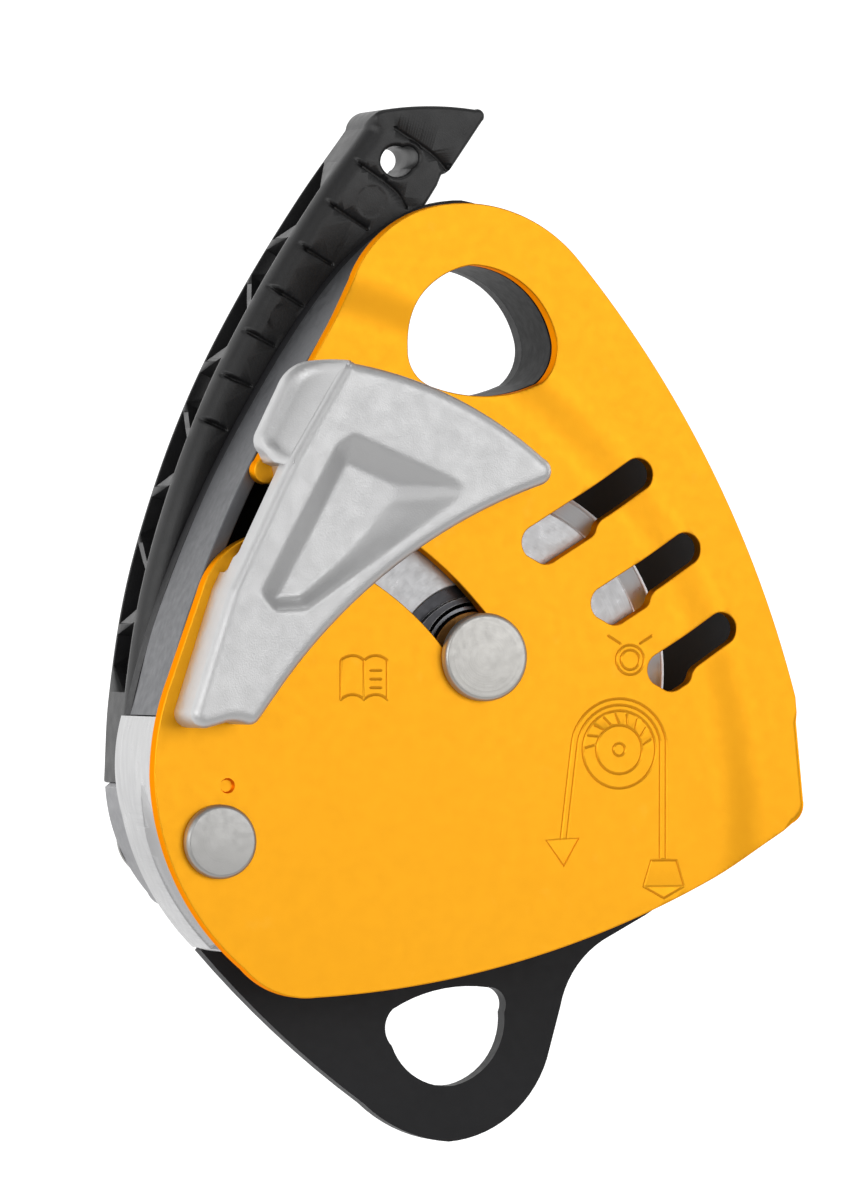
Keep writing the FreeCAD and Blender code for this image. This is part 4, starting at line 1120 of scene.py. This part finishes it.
def flange_outline():
    """Foot of the horn beside the rope groove, seen past the wing's upper left side."""
    path = Outline(-30.0, -9.0).line(-34.0, -7.5).arc(-38.8, -6.6, -43.2, -7.0)
    path.arc(-46.8, -9.0, -49.2, -12.5).line(-52.2, -18.5).line(-53.9, -22.0)
    path.arc(-54.6, -24.4, -53.4, -27.2).line(-52.4, -29.2).line(-50.4, -30.0)
    path.line(-49.8, -32.4).line(-40.0, -30.0)
    return path.close()


def make_wing():
    """The wing of the horn, with its hollow in front and the axle head's tunnel behind."""
    outline = horn_outline()
    half = high("main_axle")[0] - AXLE[0] + TUNNEL_CLEARANCE
    walls = [AXLE_REACH + side * (half + shift) for side in (-1, 1) for shift in (0.0, TUNNEL_BANK)]
    inner = moved_in(outline, even(WING_RIM))
    points = [tuple(point) for point in grid(inner, 0.8)]

    def back(x, z):
        off = abs(math.dist((x, z), PIVOT) - AXLE_REACH) - half
        return FACE - HORN_GAP - TUNNEL_DEPTH * (1.0 - smooth(off / TUNNEL_BANK))

    def notch(x, z):
        return NOTCH_DEPTH if z > NOTCH_LEVEL and x < -40.0 + (z + 30.0) * 0.25 else 0.0

    mesh = bmesh.new()
    plate(mesh, outline, [], lambda x, z: WING_FRONT + pocket_depth(x, z), back, even(WING_RIM),
          even(EDGE_BREAK), (), points, [(0.60, even(0.0)), (0.72, notch)], arcs_in(walls, [inner], 0.3))
    made(mesh, "horn_wing", "side_plate", "cast_alloy", CAST, ["friction_horn"], 40.0)


def make_flange():
    """Rimmed foot of the horn, climbing to the wing in a smooth saddle for the rope."""
    flange = flange_outline()
    wing_edge = Near([beside([(-36.0, -4.6), (-38.8, -9.2), (-51.6, -31.0), (-56.0, -40.0)], 0.8)])
    border = Near([flange + [flange[0]]])

    def front(x, z):
        rim = FLANGE_RIM * math.exp(-((border.gap(x, z) - 1.4) / 1.0) ** 2)
        rise = SADDLE_RISE * max(0.0, 1.0 - wing_edge.gap(x, z) / SADDLE_REACH) ** 2.4
        return FOOT_FRONT - rim - rise

    mesh = bmesh.new()
    points = [tuple(point) for point in grid(flange, 0.8)]
    plate(mesh, flange, [], front, even(FACE - HORN_GAP), even(0.8), even(0.2), (), points)
    made(mesh, "horn_flange", "side_plate", "cast_alloy", CAST, [], 40.0)


# ---------------------------------------------------------------- the handle
GRIP_NEAR = low("handle_grip")[1]
GRIP_FAR = high("handle_grip")[1]
GRIP_GROOVES = [
    ((-10.5, 46.4), (-1.6, 40.7), (2.1, 37.0)), ((-18.1, 37.8), (-10.0, 32.1), (-7.7, 28.5)),
    ((-24.7, 28.5), (-16.9, 23.6)), ((-31.7, 19.2), (-25.3, 15.6)), ((-38.1, 9.7), (-32.2, 6.3)),
    ((-44.2, 0.1), (-38.9, -2.7)), ((-50.0, -9.4), (-44.4, -11.7)), ((-54.6, -19.4), (-50.2, -21.4)),
]
WINDOW_LEVELS = [36.9, 21.8, 9.6, -5.5, -19.3, -33.7, -48.6, -64.2, -78.0]
# how far a rib's near end stands above its middle, and half its thickness
STEEP_RIB = (-3.0, 0.9)
SHALLOW_RIB = (1.5, 1.25)
WINDOW_DEPTH = 9.0
FRONT_WALL = 4.8
REAR_WALL = 2.0
FINGER_HALF = 0.62
FINGER_DEPTH = 1.4
FINGER_BANK = 0.18
PIN_MARKS = [((-16.1, 29.8), 3.6), ((-37.2, 3.3), 3.2)]
PIN_BANK = 0.2
PIN_SINK = 0.15
RIM_MARGIN = 0.12
EYE_MARGIN = 1.3


def grip_side():
    """The grip's outer side as a fine line from the crown down."""
    return Outline(-16.8, 46.4, 0.4).spline(GRIP_EDGE).points


GRIP_SIDE = grip_side()
GRIP_SIDE_NEAR = Near([GRIP_SIDE])


def side_at(level):
    """Point of the outer side at a height, with the direction into the grip."""
    line = GRIP_SIDE
    index = min(range(1, len(line) - 1), key=lambda i: abs(line[i][1] - level))
    (ax, az), (bx, bz) = line[index - 1], line[index + 1]
    run = math.dist((ax, az), (bx, bz))
    return line[index], (-(bz - az) / run, (bx - ax) / run)


def grip_rim(x, z):
    """Broad rounding along the outer side and the crown, small elsewhere."""
    taper = smooth((z + 98.0) / 14.0)
    return 0.6 + (0.3 + 3.3 * smooth(1.0 - GRIP_SIDE_NEAR.gap(x, z) / 4.0)) * taper


def window_cutter(mesh, index):
    """Hollow between two ribs of the outer side, one steep and one shallow."""
    near, far = GRIP_NEAR + FRONT_WALL, GRIP_FAR - REAR_WALL
    upper, lower = WINDOW_LEVELS[index], WINDOW_LEVELS[index + 1]
    (upper_lean, upper_half), (lower_lean, lower_half) = STEEP_RIB, SHALLOW_RIB
    if index % 2:
        (upper_lean, upper_half), (lower_lean, lower_half) = SHALLOW_RIB, STEEP_RIB
    corners = [(upper - upper_half + upper_lean, near), (upper - upper_half - upper_lean, far),
               (lower + lower_half - lower_lean, far), (lower + lower_half + lower_lean, near)]
    rings = []
    for push in (-3.0, WINDOW_DEPTH):
        ring = []
        for level, y in corners:
            (x, z), (nx, nz) = side_at(level)
            ring.append(vertex(mesh, x + nx * push, y, z + nz * push))
        rings.append(ring)
    capped(mesh, rings)


def make_grip():
    """Moulded handle with finger grooves in front and ribs along its outer side."""
    grooves = [Outline(*line[0], 0.3).spline(line[1:]).points for line in GRIP_GROOVES]
    marks = Strokes(grooves, FINGER_HALF, FINGER_DEPTH, FINGER_BANK)
    rings = [circle(at, radius + shift, 0.6) for at, radius in PIN_MARKS for shift in (-PIN_BANK, PIN_BANK)]

    def front(x, z):
        sunk = sum(PIN_SINK * smooth((radius + PIN_BANK - math.dist((x, z), at)) / (2 * PIN_BANK))
                   for at, radius in PIN_MARKS)
        return GRIP_NEAR + marks.at(x, z) + sunk

    mesh = bmesh.new()
    outline = grip_outline()
    lines = marks.edges() + [ring + [ring[0]] for ring in rings]
    lines = parts_in(lines, [moved_in(outline, grip_rim)], RIM_MARGIN)
    lines = parts_in(lines, [outline, grip_eye()], EYE_MARGIN)
    plate(mesh, outline, [grip_eye()], front, even(GRIP_FAR), grip_rim, even(0.8), lines)
    piece = made(mesh, "grip", "handle", "black_nylon", NYLON, ["handle_grip"], 35.0)
    cutters = bmesh.new()
    for index in range(len(WINDOW_LEVELS) - 1):
        window_cutter(cutters, index)
    carved(piece, [cutters])
    finished(piece, NYLON, 35.0)


# ---------------------------------------------------------------- brake block
CHANNEL_RADIUS = 8.0
CHANNEL_DEPTH = 3.2
CHANNEL_LEVEL = -4.6
CHANNEL_SIDES = 28


def rope_channel():
    """Tapering round cutter that runs down the block's outer side just behind the front plate."""
    side = Outline(-76.2, -100.0, 1.0).arc(-75.9, -103.4, -75.3, -106.7)
    path = side.arc(-70.3, -120.8, -58.9, -136.3).points
    mesh = bmesh.new()
    rings = []
    last = len(path) - 1
    for index, (x, z) in enumerate(path):
        (ax, az), (bx, bz) = path[max(index - 1, 0)], path[min(index + 1, last)]
        run = math.dist((ax, az), (bx, bz))
        out_x, out_z = (bz - az) / run, -(bx - ax) / run
        share = index / last
        depth = -0.3 + CHANNEL_DEPTH * smooth(share * 3.0) ** 0.7
        radius = CHANNEL_RADIUS * (0.62 + 0.38 * smooth(share * 2.0))
        middle = CHANNEL_LEVEL + 0.6 * share
        push = radius - depth
        ring = []
        for step in range(CHANNEL_SIDES):
            angle = 2 * math.pi * step / CHANNEL_SIDES
            away = push + radius * math.cos(angle)
            ring.append(vertex(mesh, x + out_x * away, middle + radius * math.sin(angle), z + out_z * away))
        rings.append(ring)
    capped(mesh, rings)
    return mesh


def make_block():
    """Brake block between the plates, and its strip round the cut-back edge of the rear plate."""
    near, far = low("brake_block")[1], REAR_NEAR
    outline = block_outline()
    mesh = bmesh.new()
    plate(mesh, outline, [], even(near), even(far), even(0.4), even(SEAT_EDGE))
    piece = made(mesh, "block", "frame", "machined_alloy", MACHINED, ["brake_block"], 35.0)
    carved(piece, [rope_channel()])
    finished(piece, MACHINED, 35.0)
    mesh = bmesh.new()
    plate(mesh, block_flange_outline(), [], even(far), even(REAR_FAR), even(0.02), even(0.5))
    made(mesh, "block_flange", "frame", "machined_alloy", MACHINED, [], 35.0)


# ---------------------------------------------------------------- heads, sheave and screws
HEAD_GAP = 0.3


def make_head(node, at, tail, name, finish):
    """Headed shaft with a flat face and a bevelled rim."""
    shank = 5.0 if node == "main_axle" else 4.5
    radius = high(node)[0] - at[0] - 0.05
    front, back = low(node)[1], FACE - HEAD_GAP
    profile = [(radius - 1.0, front), (radius - 0.45, front + 0.2), (radius, front + 0.9),
               (radius, back - 0.15), (radius - 0.15, back), (shank, back), (shank, tail)]
    mesh = bmesh.new()
    lathe(mesh, at, [(0.0, front)] + profile + [(0.0, tail)])
    made(mesh, name, "frame", "turned_steel", finish, [node], 40.0)


GROOVE_BARS = 18


def make_cheek(node, side, name):
    """One cheek of the sheave: flat face with a shallow turned band and a rounded rim."""
    half, rim_half, mouth, root, step, lip = 10.2, 8.2, 6.6, 3.2, 0.35, 20.0
    inner, floor, band, rim = 22.02, 31.0, 39.0, high(node)[0] - SHEAVE[0]
    profile = [(inner, half - step), (lip, half - step), (lip + 0.4, half), (band, half),
               (band + step, half - 0.45), (rim - 0.9, rim_half + 0.1), (rim, rim_half - 0.6), (rim, mouth),
               (floor, root), (inner, root)]
    mesh = bmesh.new()
    lathe(mesh, SHEAVE, soften([(radius, side * y) for radius, y in profile], 0.25))
    for index in range(GROOVE_BARS):
        angle = 360 / GROOVE_BARS * index
        start, end = polar(SHEAVE, floor + 1.0, angle), polar(SHEAVE, 43.6, angle + 6)
        box_bar(mesh, start, end, 0.7, side * 3.3, side * 6.9)
    made(mesh, name, "sheave", "turned_sheave", SHEAVE_METAL, [node], 35.0)


def make_rear_nut():
    """Six-sided nut on the pivot's tail."""
    near, far, across = low("pivot_nut")[1], high("pivot_nut")[1], high("pivot_nut")[0] - PIVOT[0]
    mesh = bmesh.new()
    corners = [polar(PIVOT, across, 60 * index) for index in range(6)]
    path = Outline(*corners[0], step=2.0)
    for corner in corners[1:] + corners[:1]:
        path.line(*corner)
    plate(mesh, path.points[:-1], [circle(PIVOT, 4.55)], even(near), even(far), even(0.1), even(0.5))
    made(mesh, "tail_nut", "frame", "turned_steel", PIVOT_METAL, ["pivot_nut"], 35.0)


def make_spine():
    """Side wall between the plates, following the front plate's crease."""
    mesh = bmesh.new()
    plate(mesh, spine_outline(), [], lambda x, z: FACE + PLATE_THICKNESS + PLATE_GAP + joggle(x, z),
          even(REAR_NEAR), even(EDGE_BREAK), even(SEAT_EDGE))
    made(mesh, "spine", "frame", "grey_spine", FINISHES["grey_spine"], ["side_spine"], 35.0)


def make_spacer():
    """Block between the plates, round the attachment hole."""
    mesh = bmesh.new()
    plate(mesh, spacer_outline(), [attachment_hole_outline()], even(low("top_spacer")[1]), even(REAR_NEAR),
          even(0.5), even(SEAT_EDGE))
    # The spacer takes the darker black copy, which is painted shade of the attachment hole.
    made(mesh, "spacer", "frame", slot_of("top_spacer"), SHADED_BLACK, ["top_spacer"], 35.0)


# width of the broken edges of CAD pieces
EASED = {
    "rear_side_plate": 0.4, "brake_shoe": 0.3, "rear_cover": 0.7,
    "handle_core": 0.5, "cam_lever": 0.35, "release_link": 0.35, "eccentric_hub": 0.3, "cover_screws": 0.4,
    "frame_screws": 0.25, "spine_screws": 0.15, "axle_nut": 0.5, "pivot_washer": 0.2, "horn_rivets": 0.15,
    "shoe_dowels": 0.15, "front_thrust_washer": 0.08, "plate_bush": 0.1, "sheave_core": 0.2,
    "sheave_rivets": 0.15, "crank_pin": 0.2, "lever_pin": 0.2,
}
# The hub and the clutch take the darkened steel, which is painted shade of their recess.
OWN_FINISH = {"pivot_washer": PIVOT_METAL, "eccentric_hub": RECESS_SHADED_STEEL, "one_way_clutch": RECESS_SHADED_STEEL}


def dress_the_rest():
    """Give every other CAD piece its finish, with broken edges where they show."""
    for node, width in EASED.items():
        finish = OWN_FINISH.get(node, FINISHES[slot_of(node)])
        eased(node, finish, width)
    for node, piece in frame["nodes"].items():
        finish = OWN_FINISH.get(node, FINISHES[slot_of(node)])
        for index in range(len(piece.material_slots)):
            piece.material_slots[index].material = finish


# ---------------------------------------------------------------- studio
VIEW_ANGLE = math.radians(19.3)
AIM = Vector((-0.0078, 0.0, -0.0593))
DISTANCE = 2.2
FLOOR_DROP = 0.10
# strength of the sweep's painted glow in front of the object
FRONT_GLOW = 0.32
FLOOR_REACH = 5.2
FLOOR_CURVE = 4.8


def make_floor():
    """Glowing sweep: flat under the object and curving up all round. Its paleness is painted light: it
    emits light instead of being lit, dimmer in front of the object and full behind it, and so lights the
    object too.
    """
    base = cad_low.z - FLOOR_DROP
    profile = [(0.0, 0.0), (1.0, 0.0), (FLOOR_REACH, 0.0)]
    for step in range(1, 13):
        angle = math.pi / 2 * step / 12
        profile.append((FLOOR_REACH + FLOOR_CURVE * math.sin(angle), FLOOR_CURVE * (1 - math.cos(angle))))
    profile.append((FLOOR_REACH + FLOOR_CURVE, 2.3 * FLOOR_CURVE))
    mesh = bmesh.new()
    count = 96
    rings = []
    for radius, height in profile[1:]:
        rings.append([mesh.verts.new((*polar((0, 0), radius, 360 * i / count), base + height))
                      for i in range(count)])
    middle = mesh.verts.new((0, 0, base))
    for index in range(count):
        mesh.faces.new((middle, rings[0][index], rings[0][(index + 1) % count]))
    for ring, following in zip(rings, rings[1:]):
        join(mesh, ring, following)
    floor = solid(mesh, "floor")
    floor.data.shade_smooth()
    finish = Finish("studio_floor", (0.3, 0.3, 0.3), 0.9)
    finish.shader.inputs["Emission Color"].default_value = (1.0, 1.0, 1.0, 1.0)
    across = finish.nodes.new("ShaderNodeSeparateXYZ")
    finish.join(finish.place, across, "Vector")
    # Painted light: the glow's strength runs from FRONT_GLOW in front of the object to full behind it.
    glow = finish.ranged(across.outputs["Y"], FRONT_GLOW, 1.0, -0.25, 0.35)
    finish.join(glow, finish.shader, "Emission Strength")
    floor.data.materials.append(finish.material)


def softbox(name, place, size, power, colour=(1.0, 1.0, 1.0)):
    data = bpy.data.lights.new(name, "AREA")
    data.shape = "RECTANGLE"
    data.size, data.size_y = size
    data.energy = power
    data.color = colour
    lamp = placed(name, data)
    lamp.location = place
    lamp.rotation_euler = (AIM - Vector(place)).to_track_quat("-Z", "Y").to_euler()


def make_lights():
    world = bpy.data.worlds.new("pale_room")
    bpy.context.scene.world = world
    world.use_nodes = True
    world.node_tree.nodes["Background"].inputs["Color"].default_value = (1.0, 1.0, 1.0, 1.0)
    world.node_tree.nodes["Background"].inputs["Strength"].default_value = 0.25
    softbox("left_softbox", (-2.2, -1.5, 0.1), (3.0, 1.8), 34.0)
    softbox("front_softbox", (1.25, -2.8, 0.25), (2.8, 1.7), 22.5)
    softbox("top_softbox", (0.1, -0.5, 2.2), (1.4, 1.0), 5.0)
    softbox("right_rim", (1.9, 0.6, 0.2), (0.7, 1.4), 5.0)


def make_camera():
    data = bpy.data.cameras.new("camera")
    data.lens = 297.0
    data.sensor_width = 36.0
    camera = placed("camera", data)
    direction = Vector((math.sin(VIEW_ANGLE), math.cos(VIEW_ANGLE), 0.0))
    camera.location = AIM - direction * DISTANCE
    camera.rotation_euler = direction.to_track_quat("-Z", "Y").to_euler()
    bpy.context.scene.camera = camera


# ---------------------------------------------------------------- the object, the room and the end
make_front_plate()
make_wing()
make_flange()
make_grip()
make_block()
make_head("main_axle", AXLE, high("main_axle")[1], "axle_shaft", AXLE_METAL)
make_head("plate_pivot_pin", PIVOT, high("plate_pivot_pin")[1], "pivot_shaft", PIVOT_METAL)
make_cheek("sheave_front_cheek", -1, "front_cheek")
make_cheek("sheave_rear_cheek", 1, "rear_cheek")
make_rear_nut()
make_spine()
make_spacer()
dress_the_rest()
make_floor()
make_lights()
make_camera()
bpy.context.scene.view_settings.view_transform = "Standard"
